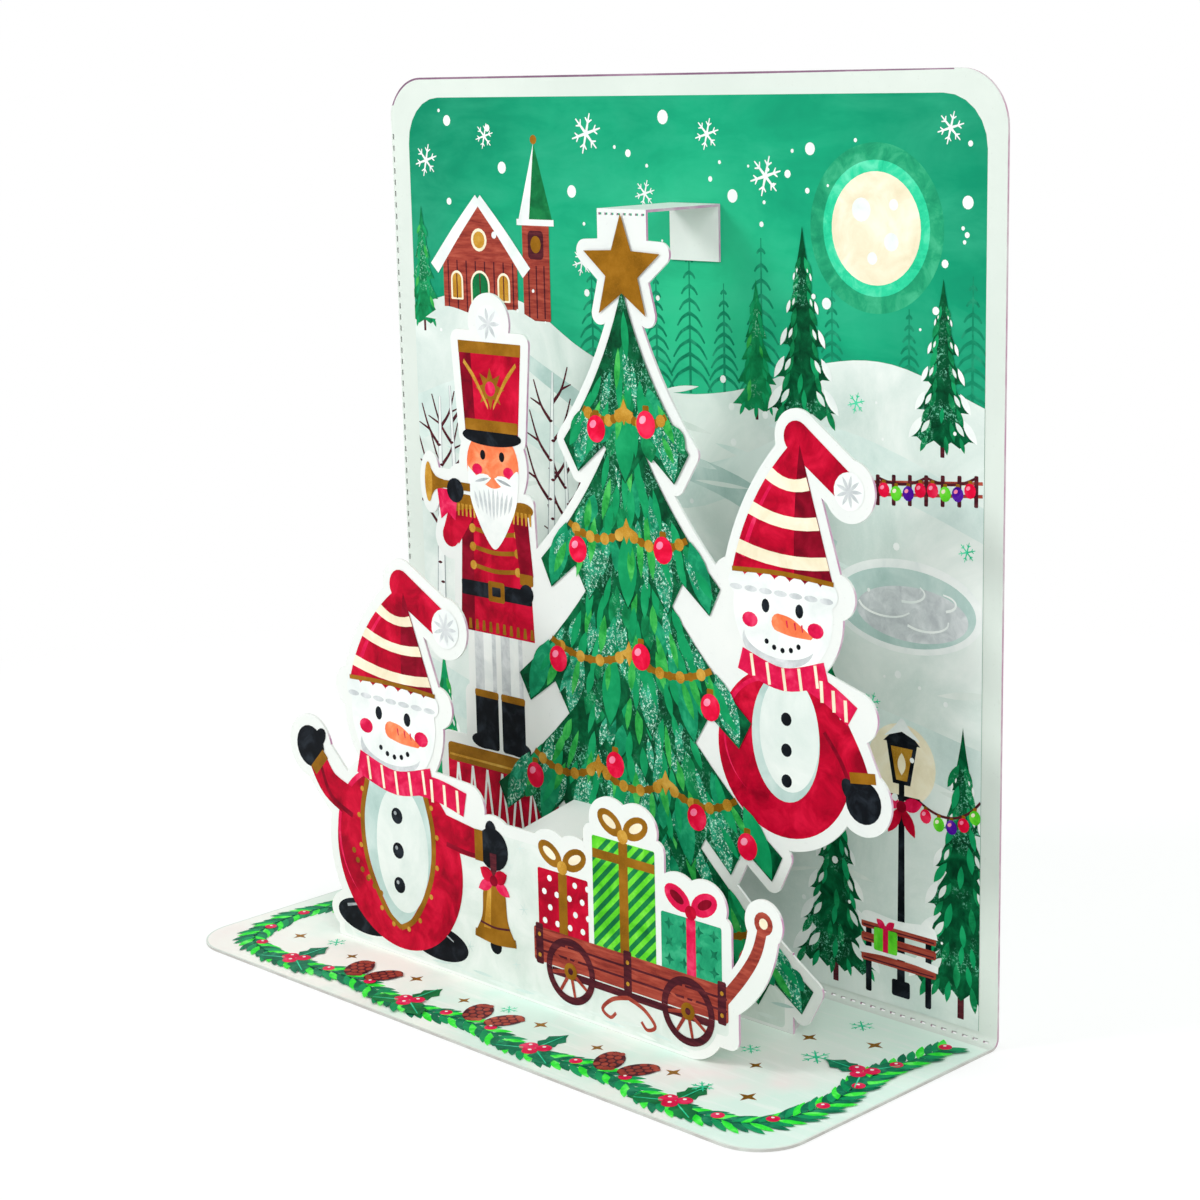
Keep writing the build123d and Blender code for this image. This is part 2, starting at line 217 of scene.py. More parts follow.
def ink(name, dark, middle, light, scale, grain=0.5, stretch=None, frost=None):
    """Printed paint: brushed tones from dark to light, dry-brush grain and optional frost specks."""
    n = Nodes("ink_" + name)
    vector = n.stretched(stretch) if stretch else None
    broad = n.noise(1.0 if stretch else scale, 5.0, 0.6, vector, 0.6)
    colour = n.ramp(broad, (0.33, dark), (0.5, middle), (0.68, light))
    dry = n.noise(2600, 2.0, 0.75)
    colour = n.mix(n.spread(dry, 0.5, 0.75, 0.0, 0.35 * grain), colour, light)
    if frost:
        tone, amount, cover = frost
        patch = n.spread(n.noise(150, 3.0, 0.6), 0.66 - cover, 0.74 - cover)
        dots = n.spread(n.noise(2100, 3.0, 0.85), 0.54, 0.60)
        colour = n.mix(n.times(n.times(patch, dots), amount), colour, tone)
    return n.finish(colour, n.spread(dry, 0.35, 0.7, 0.41, 0.56))


def foil(name, dark, middle, light):
    """Flat gold ink with a fine metallic flake."""
    n = Nodes("ink_" + name)
    broad = n.noise(220, 4.0, 0.6)
    colour = n.ramp(broad, (0.35, dark), (0.52, middle), (0.7, light))
    flakes = n.noise(5200, 1.0, 0.5)
    colour = n.mix(n.spread(flakes, 0.5, 0.7, 0.0, 0.4), colour, light)
    return n.finish(colour, n.spread(flakes, 0.3, 0.7, 0.34, 0.5), 0.25, metallic=0.35)


def sky_ink():
    """Green-teal sky, lighter round a glow above the tree."""
    glow_x, glow_z, flatten = 0.004, 0.104, 0.75
    n = Nodes("ink_sky")
    x, _, z = n.parts(n.coords)
    dx = n.times(n.math("SUBTRACT", x, glow_x), flatten)
    dz = n.math("SUBTRACT", z, glow_z)
    far = n.math("SQRT", n.math("ADD", n.times(dx, dx), n.times(dz, dz)))
    waver = n.times(n.math("SUBTRACT", n.noise(90, 4.0, 0.6), 0.5), 0.022)
    near_to_far = n.spread(n.math("ADD", far, waver), 0.004, 0.052)
    colour = n.ramp(near_to_far, (0.0, (48, 196, 144)), (0.45, (24, 166, 122)), (1.0, (10, 136, 100)))
    wash = n.noise(1.0, 5.0, 0.6, n.stretched((48, 48, 130)), 0.4)
    colour = n.mix(n.spread(wash, 0.45, 0.72, 0.0, 0.22), colour, (84, 204, 166))
    colour = n.mix(n.spread(wash, 0.48, 0.28, 0.0, 0.26), colour, (6, 112, 86))
    return n.finish(colour, n.spread(wash, 0.3, 0.7, 0.38, 0.5))


def base_ink():
    """Bright card under the garland, with soft blush and mint washes, and a painted green bounce light that
    makes it mintier towards the back.
    """
    n = Nodes("ink_base")
    blush = n.spread(n.noise(34, 3.0, 0.5), 0.46, 0.64, 0.0, 0.9)
    colour = n.mix(blush, (249, 250, 243), (247, 232, 231))
    colour = n.mix(n.spread(n.noise(24, 4.0, 0.6), 0.47, 0.60), colour, (222, 243, 233))
    # Painted light: a mint tint towards the back stands in for green light bounced off the layers
    back_bounce_light = n.spread(n.parts(n.coords)[1], -0.012, 0.014, 0.0, 0.8)
    colour = n.mix(back_bounce_light, colour, (228, 249, 239))
    streaks = n.noise(1.0, 5.0, 0.65, n.stretched((60, 480, 60)), 0.3)
    colour = n.mix(n.spread(streaks, 0.52, 0.72, 0.0, 0.6), colour, (250, 252, 248))
    return n.finish(colour, n.spread(streaks, 0.3, 0.7, 0.42, 0.55))


INK = {"sky": sky_ink(), "base": base_ink()}
# Dark, middle and light tone, scale of the brush marks, share of dry brush, and for some the stretch
# of the marks or the frost: its tone, strength and cover
for name, *tones in (
    ("far_fir", (12, 120, 88), (20, 134, 98), (42, 156, 118), 420),
    ("snow", (206, 220, 214), (224, 233, 228), (241, 245, 241), 60),
    ("snow_shade", (198, 216, 211), (214, 229, 224), (232, 241, 237), 80, 0.6),
    ("path", (170, 198, 192), (188, 211, 206), (210, 226, 221), 110, 0.7),
    ("pale", (212, 223, 216), (223, 231, 225), (236, 240, 236), 140),
    ("fir_dark", (0, 52, 30), (0, 80, 46), (10, 110, 66), 420, 0.4, None, ((130, 216, 184), 0.7, 0.15)),
    ("fir_mid", (4, 98, 56), (12, 126, 74), (28, 154, 94), 420, 0.5, None, ((150, 230, 196), 0.6, 0.15)),
    ("fir_leaf", (10, 138, 84), (16, 150, 92), (30, 164, 104), 300, 0.3),
    ("fir_teal", (8, 118, 80), (18, 142, 96), (44, 170, 120), 420),
    ("fir_frost", (6, 100, 66), (16, 130, 92), (60, 180, 142), 500, 0.6, None, ((206, 246, 228), 0.95, 0.30)),
    ("fir_light", (26, 138, 56), (48, 168, 74), (84, 198, 98), 420),
    ("red", (142, 0, 30), (188, 2, 42), (220, 20, 60), 200, 0.4),
    ("cherry", (214, 4, 46), (234, 12, 62), (248, 52, 92), 300, 0.3),
    ("mauve", (120, 84, 112), (140, 104, 130), (166, 134, 156), 90, 0.4),
    ("crimson", (204, 8, 62), (224, 22, 78), (240, 66, 110), 300, 0.4),
    ("pink", (250, 110, 150), (254, 140, 172), (255, 176, 198), 300, 0.3),
    ("wine", (104, 0, 24), (130, 2, 30), (154, 10, 42), 300, 0.4),
    ("peach", (236, 104, 58), (248, 130, 84), (254, 170, 124), 260, 0.4),
    ("black", (6, 9, 14), (14, 18, 24), (38, 44, 52), 300, 0.3),
    ("wood", (128, 46, 40), (160, 64, 52), (186, 88, 70), 1, 0.5, (200, 200, 1500)),
    ("wood_dark", (58, 20, 30), (78, 28, 38), (104, 42, 48), 1, 0.5, (200, 200, 1500)),
    ("lime", (74, 186, 34), (98, 214, 46), (136, 234, 80), 300, 0.4),
    ("green", (12, 96, 54), (18, 116, 64), (34, 138, 78), 300, 0.4),
    ("teal", (24, 138, 98), (38, 160, 114), (70, 184, 138), 300, 0.4),
    ("purple", (58, 8, 128), (78, 14, 154), (120, 60, 190), 300, 0.4),
    ("cream", (236, 222, 190), (246, 234, 206), (252, 244, 224), 200, 0.4),
    ("grey", (188, 192, 196), (206, 210, 212), (226, 228, 230), 420, 0.7),
    ("grey_dark", (142, 148, 154), (164, 170, 174), (190, 194, 198), 420, 0.7),
    ("white", (230, 235, 234), (241, 244, 242), (250, 251, 249), 160, 0.4),
    ("mint", (30, 190, 140), (50, 210, 158), (104, 228, 184), 300),
    ("leaf_dark", (8, 94, 66), (16, 116, 82), (44, 146, 106), 500),
    ("leaf_bright", (28, 212, 48), (56, 238, 66), (118, 252, 116), 500, 0.4),
    ("blush", (240, 226, 228), (244, 233, 233), (248, 240, 238), 60, 0.4),
):
    INK[name] = ink(name, *tones)
INK["gold"] = foil("gold", (130, 86, 12), (150, 100, 18), (170, 116, 32))
INK["gold_light"] = foil("gold_light", (176, 122, 30), (198, 144, 48), (222, 178, 84))

# Board of each sheet: tone, shade and cut edge
for node, *board in (
    ("card_shell", (225, 232, 225), (216, 224, 217), (184, 140, 164)),
    ("tree_layer", (240, 241, 238), (231, 234, 232), (198, 140, 178)),
    ("front_layer", (241, 242, 239), (233, 236, 233), (198, 140, 178)),
    ("spacer_band", (238, 240, 238), (228, 232, 230), (206, 196, 200)),
):
    material = card(node, *board)
    for obj in bpy.data.objects:
        if obj.type == "MESH" and (obj.name == node or obj.name.startswith(node + "_")):
            obj.data.materials.clear()
            obj.data.materials.append(material)


# Outlines, in millimetres on the face that is printed

def arc(x, z, rx, rz=None, start=0, stop=360, count=None, turn=0):
    """Points along an oval, or a part of it."""
    rz = rx if rz is None else rz
    count = count or max(8, int(9 + abs(stop - start) / 360 * 4 * max(rx, rz)))
    steps = count if abs(stop - start) >= 360 else count - 1
    c, s = math.cos(math.radians(turn)), math.sin(math.radians(turn))
    out = []
    for i in range(count):
        a = math.radians(start + (stop - start) * i / steps)
        u, v = rx * math.cos(a), rz * math.sin(a)
        out.append((x + u * c - v * s, z + u * s + v * c))
    return out


def sagitta(a, b, bulge, count=8):
    """Points from a to b along a shallow arc that bulges to the left of the way."""
    (ax, az), (bx, bz) = a, b
    nx, nz = -(bz - az), bx - ax
    length = math.hypot(nx, nz)
    out = []
    for i in range(count + 1):
        t = i / count
        lift = bulge * 4 * t * (1 - t)
        out.append((ax + (bx - ax) * t + nx / length * lift, az + (bz - az) * t + nz / length * lift))
    return out


def rounded(x0, z0, x1, z1, r):
    """A rectangle with rounded corners."""
    centres = ((x1 - r, z1 - r), (x0 + r, z1 - r), (x0 + r, z0 + r), (x1 - r, z0 + r))
    out = []
    for quarter, (x, z) in enumerate(centres):
        out += arc(x, z, r, None, 90 * quarter, 90 * quarter + 90, 7)
    return out


def lens(x, z, length, width, turn):
    """A leaf with two pointed ends, starting at x, z and running towards turn degrees."""
    a = math.radians(turn)
    tip = (x + length * math.cos(a), z + length * math.sin(a))
    return sagitta((x, z), tip, width / 2, 6) + sagitta(tip, (x, z), width / 2, 6)[1:-1]


def smooth(points, per=6):
    """A curve through the points."""
    pts = [points[0], *points, points[-1]]
    out = []
    for p0, p1, p2, p3 in zip(pts, pts[1:], pts[2:], pts[3:]):
        for i in range(per):
            t = i / per
            point = []
            for a, b, c, d in zip(p0, p1, p2, p3):
                square, cube = 2 * a - 5 * b + 4 * c - d, 3 * b - a - 3 * c + d
                point.append(0.5 * (2 * b + (c - a) * t + square * t * t + cube * t ** 3))
            out.append(tuple(point))
    return out + [tuple(points[-1])]


def ribbon(points, width, end_width=None, per=6):
    """A stroke along a smooth curve, from one width to another."""
    end_width = width if end_width is None else end_width
    line = smooth(points, per) if len(points) > 2 else list(points)
    left, right = [], []
    for i, (x, z) in enumerate(line):
        ax, az = line[max(i - 1, 0)]
        bx, bz = line[min(i + 1, len(line) - 1)]
        length = math.hypot(bx - ax, bz - az) or 1
        nx, nz = -(bz - az) / length, (bx - ax) / length
        half = (width + (end_width - width) * i / (len(line) - 1)) / 2
        left.append((x + nx * half, z + nz * half))
        right.append((x - nx * half, z - nz * half))
    return left + right[::-1]


def mirrored(points):
    """A half outline and its mirror image, without the middle point twice."""
    return points + [(-x, z) for x, z in points[::-1] if x]


def area(points):
    return sum(ax * bz - bx * az for (ax, az), (bx, bz) in zip(points, points[1:] + points[:1])) / 2


def without_repeats(points):
    kept = []
    for point in points:
        if not kept or math.dist(point, kept[-1]) > tiny:
            kept.append(point)
    while len(kept) > 1 and math.dist(kept[0], kept[-1]) <= tiny:
        kept.pop()
    return kept


def clipped(points, box):
    """A polygon cut to a box (x low, z low, x high, z high)."""
    for axis, limit, sign in ((0, box[0], 1), (1, box[1], 1), (0, box[2], -1), (1, box[3], -1)):
        out = []
        for a, b in zip(points, points[1:] + points[:1]):
            inside_a = (a[axis] - limit) * sign >= 0
            inside_b = (b[axis] - limit) * sign >= 0
            if inside_a:
                out.append(a)
            if inside_a != inside_b:
                t = (limit - a[axis]) / (b[axis] - a[axis])
                out.append((a[0] + t * (b[0] - a[0]), a[1] + t * (b[1] - a[1])))
        points = out
        if len(points) < 3:
            return []
    return points


def holds(a, a2, point):
    """True where a point is inside a closed outline, given as its edges' starts and ends."""
    px, pz = point
    spans = (a[:, 1] > pz) != (a2[:, 1] > pz)
    if not spans.any():
        return False
    p, q = a[spans], a2[spans]
    at = p[:, 0] + (pz - p[:, 1]) / (q[:, 1] - p[:, 1]) * (q[:, 0] - p[:, 0])
    return bool(np.count_nonzero(at > px) % 2)


def overlapping(a, b):
    """True where two outlines cross, or one holds the other."""
    a2, b2 = np.roll(a, -1, 0), np.roll(b, -1, 0)

    def side(origin, step, point):
        away = point - origin
        return step[..., 0] * away[..., 1] - step[..., 1] * away[..., 0]

    from_a, step_a = a[:, None], (a2 - a)[:, None]
    from_b, step_b = b[None, :], (b2 - b)[None, :]
    cross_a = side(from_a, step_a, from_b) * side(from_a, step_a, b2[None, :]) < 0
    cross_b = side(from_b, step_b, from_a) * side(from_b, step_b, a2[:, None]) < 0
    if np.any(cross_a & cross_b):
        return True
    return holds(a, a2, b.mean(0)) or holds(b, b2, a.mean(0)) or holds(a, a2, b[0]) or holds(b, b2, a[0])


class Picture:
    """Flat painted shapes on one face of the card, each a hair above the shapes it covers."""

    def __init__(self, name, place, clip=None):
        self.name = name
        self.place = place
        self.clip = clip
        self.shapes = []
        self.origin = (0, 0)

    def at(self, x, z):
        """The same picture, drawn from another origin."""
        moved = copy.copy(self)
        moved.origin = (self.origin[0] + x, self.origin[1] + z)
        return moved

    def shape(self, points, tone, layer):
        ox, oz = self.origin
        points = [(x + ox, z + oz) for x, z in points]
        points = without_repeats(clipped(points, self.clip) if self.clip else points)
        if len(points) < 3 or abs(area(points)) < tiny:
            return
        if area(points) < 0:
            points = points[::-1]
        self.shapes.append((layer, len(self.shapes), points, tone))

    def disc(self, x, z, r, tone, layer, rz=None, count=None, turn=0):
        self.shape(arc(x, z, r, rz, count=count, turn=turn), tone, layer)

    def plate(self, x0, z0, x1, z1, r, tone, layer):
        self.shape(rounded(x0, z0, x1, z1, r), tone, layer)

    def leaf(self, x, z, length, width, turn, tone, layer):
        self.shape(lens(x, z, length, width, turn), tone, layer)

    def stroke(self, points, width, tone, layer, end=None, per=6):
        self.shape(ribbon(points, width, end, per), tone, layer)

    def between(self, first, second, tone, layer):
        """A field between two smooth curves, run one after the other."""
        self.shape(smooth(first) + smooth(second), tone, layer)

    def star(self, x, z, r, waist, tone, layer, points=4, turn=90):
        out = []
        for i in range(2 * points):
            reach = r * waist if i % 2 else r
            a = math.radians(turn + 180 / points * i)
            out.append((x + reach * math.cos(a), z + reach * math.sin(a)))
        self.shape(out, tone, layer)

    def flake(self, x, z, r, tone, layer, barbs=True):
        """A snow crystal: crossed strokes with short side barbs."""
        pic = self.at(x, z)
        for i in range(6):
            a = math.radians(60 * i + 15)
            ux, uz = math.cos(a), math.sin(a)
            pic.stroke([(0, 0), (ux * r, uz * r)], r * 0.17, tone, layer, r * 0.07)
            root = (ux * r * 0.55, uz * r * 0.55)
            for side in (-50, 50) if barbs else ():
                b = a + math.radians(side)
                tip = (root[0] + math.cos(b) * r * 0.3, root[1] + math.sin(b) * r * 0.3)
                pic.stroke([root, tip], r * 0.12, tone, layer, r * 0.06)

    def bauble(self, x, z, r, body, shine, layer):
        self.plate(x - r * 0.3, z + r * 0.8, x + r * 0.3, z + r * 1.35, r * 0.12, "gold", layer)
        self.disc(x, z, r * 0.92, body, layer + 0.4, rz=r)
        self.disc(x - r * 0.3, z + r * 0.32, r * 0.36, shine, layer + 0.8, rz=r * 0.26, turn=35)

    def stacked(self):
        """The shapes from the lowest paint to the highest, each with its place in the stack."""
        order = sorted(self.shapes, key=lambda entry: entry[:2])
        outlines = [np.array(entry[2]) for entry in order]
        lows = np.array([o.min(0) for o in outlines])
        highs = np.array([o.max(0) for o in outlines])
        heights = np.zeros(len(order), int)
        for i, outline in enumerate(outlines):
            near = np.all((lows[:i] < highs[i]) & (highs[:i] > lows[i]), axis=1)
            for j in np.nonzero(near)[0]:
                if heights[j] >= heights[i] and overlapping(outline, outlines[j]):
                    heights[i] = heights[j] + 1
        return [(entry[2], entry[3], int(h)) for entry, h in zip(order, heights)]

    def done(self):
        """Makes the picture's one mesh."""
        mesh = bmesh.new()
        tones = []
        for points, tone, height in self.stacked():
            if tone not in tones:
                tones.append(tone)
            lift = first_lift + height * paint_step
            verts = [mesh.verts.new(Vector(self.place(x, z, lift)) * MM) for x, z in points]
            mesh.faces.new(verts).material_index = tones.index(tone)
        mesh.normal_update()
        bmesh.ops.triangulate(mesh, faces=mesh.faces[:], ngon_method="EAR_CLIP")
        data = bpy.data.meshes.new(self.name)
        mesh.to_mesh(data)
        mesh.free()
        for tone in tones:
            data.materials.append(INK[tone])
        piece = bpy.data.objects.new(self.name, data)
        bpy.context.scene.collection.objects.link(piece)
        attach(piece, "root")


def stroke_field(pic, inside, box, count, tones, layer, length, width, aim, apart=0.0):
    """Leaf strokes scattered in a box, kept where they are inside and not too near each other."""
    tries = 8  # for each stroke
    taken = []
    for _ in range(count * tries):
        if len(taken) >= count:
            break
        x, z = rng.uniform(box[0], box[2]), rng.uniform(box[1], box[3])
        turn = aim(x) + rng.uniform(-10, 10)
        size = length * rng.uniform(0.7, 1.2)
        a = math.radians(turn)
        middle = (x + size / 2 * math.cos(a), z + size / 2 * math.sin(a))
        end = (x + size * math.cos(a), z + size * math.sin(a))
        if any(math.dist(middle, other) < apart for other in taken):
            continue
        if inside(x, z) and inside(*middle) and inside(*end):
            pic.leaf(x, z, size, width * rng.uniform(0.8, 1.15), turn, tones[len(taken) % len(tones)], layer)
            taken.append(middle)


# Back panel: a winter night

field = (4.8 - half_width, 1.9, half_width - 3.3, card_top - 3.3)
left_x, low_z, right_x, top_z = field
back = Picture("print_back", lambda x, z, lift: (x, back_y - lift, z), field)
moon = (41.0, 117.0)


def far_fir(x, foot, height):
    """A fir seen through the night, as a few thin strokes."""
    back.stroke([(x, foot), (x, foot + height)], 0.55, "far_fir", 1, 0.2)
    for t in range(9):
        z = foot + height * (0.12 + 0.1 * t)
        reach = height * 0.2 * (1 - t / 9.6)
        for side in BOTH:
            bough = [(x, z + reach * 0.3), (x + side * reach * 0.6, z), (x + side * reach, z - reach * 0.5)]
            back.stroke(bough, 0.6, "far_fir", 1, 0.3, 3)


def fir(x, z0, height, half, tones, layer, tiers=5, snowy=False):
    """A printed fir: trunk, jagged tiers, lighter bough strokes and, on a snowy one, white tips."""
    dark, mid, light = tones
    back.plate(x - half * 0.06, z0, x + half * 0.06, z0 + height * 0.16, 0.1, "wood_dark", layer)
    crown = z0 + height * 0.1
    pitch = (height * 0.9) / (tiers + 0.6)
    for t in range(tiers):
        level = layer + 0.2 * t
        w = half * (1 - t / (tiers + 0.35))
        tip = crown + pitch * t
        top = tip + pitch * 1.9 if t < tiers - 1 else z0 + height
        outline = sagitta((x + w, tip), (x, top), w * 0.10) + sagitta((x, top), (x - w, tip), w * 0.10)[1:]
        teeth = max(3, int(w / 1.5))
        for i in range(1, 2 * teeth):
            along = -1 + i / teeth
            drop = (0.10 if i % 2 else -0.12) * pitch - 0.16 * pitch * (1 - along * along)
            outline.append((x + w * along, tip + drop))
        back.shape(outline, dark, level)
        for row in range(2):
            root_z = tip + (row + 0.3) * pitch * 0.52
            reach = w * (1 - (root_z - tip) / (top - tip)) * 0.86
            count = max(2, int(reach / 1.25))
            for i in range(count):
                u = -1 + (2 * i + 1) / count + rng.uniform(-0.12, 0.12)
                size = pitch * rng.uniform(0.5, 0.74)
                tone = mid if rng.random() < 0.6 else light
                turn = -90 + 40 * u + rng.uniform(-8, 8)
                back.leaf(x + u * reach, root_z, size, size * 0.32, turn, tone, level + 0.1)
        for side in BOTH if snowy else ():
            slope = math.degrees(math.atan2(top - tip, -side * w))
            back.leaf(x + side * w, tip - pitch * 0.04, w * 0.7, w * 0.22, slope, "white", level + 0.15)
            back.leaf(x + side * w * 0.62, tip + pitch * 0.2, w * 0.4, w * 0.14, slope, "snow", level + 0.15)


def lights(start, end, sag, count, layer):
    """A hanging cord of small coloured bulbs, from left to right."""
    line = sagitta(start, end, -sag, 2 * count)
    back.stroke(line, 0.4, "wood_dark", layer, per=2)
    for i, (x, z) in enumerate(line[1::2]):
        body, shine = (("cherry", "pink"), ("lime", "cream"), ("purple", "pink"))[i % 3]
        back.bauble(x, z - 1.4, 1.1, body, shine, layer + 0.2)


def pond(x, z, rx, rz):
    """A frozen pond with skating marks."""
    pic = back.at(x, z)
    pic.disc(0, 0.2, rx + 1.3, "white", 4.85, rz=rz + 1.1)
    pic.disc(0, 0, rx, "path", 4.9, rz=rz)
    pic.disc(1.2, -0.8, rx * 0.8, "grey", 4.95, rz=rz * 0.7)
    marks = ((-0.28, 0.08, 0.40), (0.28, -0.20, 0.34), (0.0, 0.42, 0.28), (0.48, 0.28, 0.24))
    for k, (u, v, share) in enumerate(marks):
        start, reach = 190 + 35 * k, share * rx
        mark = arc(u * rx, v * rz, reach, reach * 0.42, start, start + 140, 7)
        pic.stroke(mark, 0.4, "white", 5, 0.25)


def arch(x, low, high, half, tone, layer):
    """A door or window with a round head."""
    back.plate(x - half, low, x + half, high, 0.2, tone, layer)
    back.shape(arc(x, high - 0.1, half, None, 0, 180, 12), tone, layer)


def chapel(x, floor):
    """A small wooden chapel with a snowy roof and a steeple."""
    pic = back.at(x, floor)
    half, eave, ridge = 9.0, 9.0, 18.0
    pic.shape([(-half, 0), (half, 0), (half, eave), (0, ridge), (-half, eave)], "wood", 5)
    for i in range(8):
        px = -half + 1.2 + i * 2.25
        pic.stroke([(px, 0.2), (px, eave - 0.3)], 0.3, "wood_dark", 5.4)
    # Arched door and tall arched windows in cream frames, and a round window
    window_x, frame_width = half - 3.3, 0.4
    window = (1.1, floor + 2.2, floor + 5.6, 0.3, "gold_light")
    for ax, wide, low, high, sill, tone in (
        (x, 1.9, floor, floor + 5.0, 0, "green"), (x - window_x, *window), (x + window_x, *window),
    ):
        arch(ax, low, high, wide + frame_width, "cream", 5.8)
        arch(ax, low + sill, high, wide, tone, 6.2)
        back.stroke([(ax, low + 0.2), (ax, high + wide - 0.2)], 0.25, "wood_dark", 6.6)
    pic.disc(0, eave + 3.2, 1.9, "cream", 6.2)
    pic.disc(0, eave + 3.2, 1.4, "gold_light", 6.6)
    # Steeple
    middle, wide, top, spire = 13.5, 3.1, 15.5, 12.5
    pic.plate(middle - wide, -0.4, middle + wide, top, 0.3, "wood", 5)
    for i in range(3):
        px = middle - 1.8 + i * 1.8
        pic.stroke([(px, 0), (px, top - 7.0)], 0.3, "wood_dark", 5.4)
    pic.plate(middle - 1.8, top - 6.0, middle + 1.8, top - 1.4, 0.8, "wood_dark", 5.8)
    pic.disc(middle, top - 3.6, 1.2, "gold", 6.2, rz=1.4)
    pic.shape([(middle - 4.0, top), (middle + 4.0, top), (middle, top + spire)], "green", 5.8)
    pic.shape([(middle - 4.0, top), (middle - 1.5, top), (middle, top + spire)], "white", 6.2)
    pic.stroke([(middle - 4.3, top - 0.1), (middle + 4.3, top - 0.1)], 1.0, "white", 6.6)
    pic.disc(middle, top + spire + 0.5, 0.75, "gold", 6.6)
    # Snow on the roof and round the foot
    for side in BOTH:
        low, high = (side * (half + 2.2), eave - 1.8), (0, ridge + 0.9)
        pic.stroke([low, (low[0] / 2, (low[1] + high[1]) / 2 + 0.25), high], 2.4, "white", 7, 1.7)
    pic.shape(smooth([(-half - 5, -1.2), (-half, 0.9), (-3.2, 0.1)]) + [(-3.2, -2)], "snow", 7)
    pic.shape(smooth([(3.0, 0.1), (half, 1.0), (middle + wide + 2.5, -3.2)]) + [(3.0, -4)], "snow", 7)


def birch(x, z0, height, width, lean):
    """A bare birch: pale trunk with dark marks, and forked twigs."""
    pic = back.at(x, z0)
    for i, t in enumerate((0.40, 0.50, 0.59, 0.68, 0.77, 0.86)):
        bx, bz = lean * t, height * t
        side = BOTH[i % 2]
        reach = height * (0.36 - 0.22 * t)
        fork = (bx + side * reach * 0.36, bz + reach * 0.4)
        pic.stroke([(bx, bz), fork, (bx + side * reach * 0.6, bz + reach)], 0.7, "wood_dark", 7, 0.25)
        pic.stroke([fork, (bx + side * reach * 0.72, bz + reach * 0.55)], 0.45, "wood_dark", 7, 0.2)
    trunk = [(0, 0), (lean, height)]
    pic.stroke(trunk, width + 0.5, "grey_dark", 7.2, 0.5)
    pic.stroke(trunk, width, "white", 7.4, 0.3)
    for i in range(9):
        t, side = 0.06 + i * 0.09, BOTH[i % 2]
        mark = (lean * t + side * width * 0.48, height * t)
        pic.leaf(*mark, width * 0.6, 0.5, 90 + side * 90, "wood_dark", 7.6)


def bow(pic, z, leaves, layer):
    """A bow: leaves in pairs round a knot, each with length, width, turn, tone and layer."""
    for side in BOTH:
        for length, width, turn, tone, leaf_layer in leaves:
            pic.leaf(0, z, length, width, 90 - side * turn, tone, leaf_layer)
    pic.disc(0, z, 0.9, "wine", layer)


def street_lamp(x, z0, height):
    """An iron lamp with a lit lantern, a snowy cap and a bow."""
    pic = back.at(x, z0 + height)
    pic.disc(0, 3.0, 6.2, "cream", 11.6)
    pic.stroke([(0, -height), (0, 0)], 1.5, "black", 12, 1.0)
    pic.plate(-1.7, -height, 1.7, 2.6 - height, 0.4, "black", 12)
    pic.stroke([(-3.4, -2), (3.4, -2)], 0.7, "black", 12)
    pic.shape([(-1.6, 0), (1.6, 0), (2.8, 6.2), (-2.8, 6.2)], "black", 12.2)
    pic.shape([(-1.0, 0.6), (1.0, 0.6), (2.0, 5.6), (-2.0, 5.6)], "gold_light", 12.4)
    pic.leaf(0, 1.4, 3.4, 1.5, 90, "cream", 12.6)
    pic.shape([(-3.4, 6.2), (3.4, 6.2), (0, 9.4)], "black", 12.4)
    pic.shape(smooth([(-3.3, 6.9), (-1.4, 8.6), (0, 10.0), (1.4, 8.6), (3.3, 6.9), (0, 8.0)]), "white", 12.6)
    bow(pic, -3.4, ((5.0, 1.9, 150, "red", 12.6), (4.0, 2.2, 74, "crimson", 12.8)), 12.95)


def bench(x, z, length):
    """A park bench under fresh snow, with a present on it."""
    pic = back.at(x, z)
    for px in (1.4, length - 1.4):
        pic.plate(px - 0.55, 0, px + 0.55, 11.5, 0.3, "black", 12.2)
    for level in (4.8, 7.8, 10.0):
        pic.plate(0, level, length, level + 1.4, 0.4, "wood", 12.4)
        pic.stroke([(0.4, level + 0.4), (length - 0.4, level + 0.4)], 0.25, "wood_dark", 12.5)
    snow = [(-0.3, 11.0), (1.0, 12.7), (length / 2, 12.3), (length - 1.0, 12.8), (length + 0.3, 11.0)]
    pic.shape(smooth(snow), "white", 12.6)
    pic.stroke([(-0.4, 6.4), (length / 2, 6.9), (length + 0.4, 6.4)], 1.1, "white", 12.6)
    pic.plate(2.4, 6.8, 6.8, 10.4, 0.3, "lime", 12.8)
    pic.plate(4.1, 6.8, 5.1, 10.4, 0.1, "crimson", 12.9)
    for side in BOTH:
        pic.leaf(4.6, 10.4, 2.2, 1.2, 90 - side * 50, "crimson", 12.9)


def fence(x, z, posts):
    """A rail fence that rises to the right."""
    apart, climb, height, half = 2.9, 0.25, 4.5, 0.35
    for i in range(posts):
        px, pz = x + i * apart, z + i * climb
        back.plate(px - half, pz, px + half, pz + height, 0.2, "wood_dark", 6)
    for rail in (z + 1.5, z + 3.3):
        back.stroke([(x - 1.1, rail), (60, rail + 1.7)], 0.5, "wood", 5.5)


# The sky begins below the field, whose edge cuts off its lower corners
below, sky_r = 12, 7.5
back.plate(left_x, low_z - below, right_x, top_z, sky_r, "sky", 0)
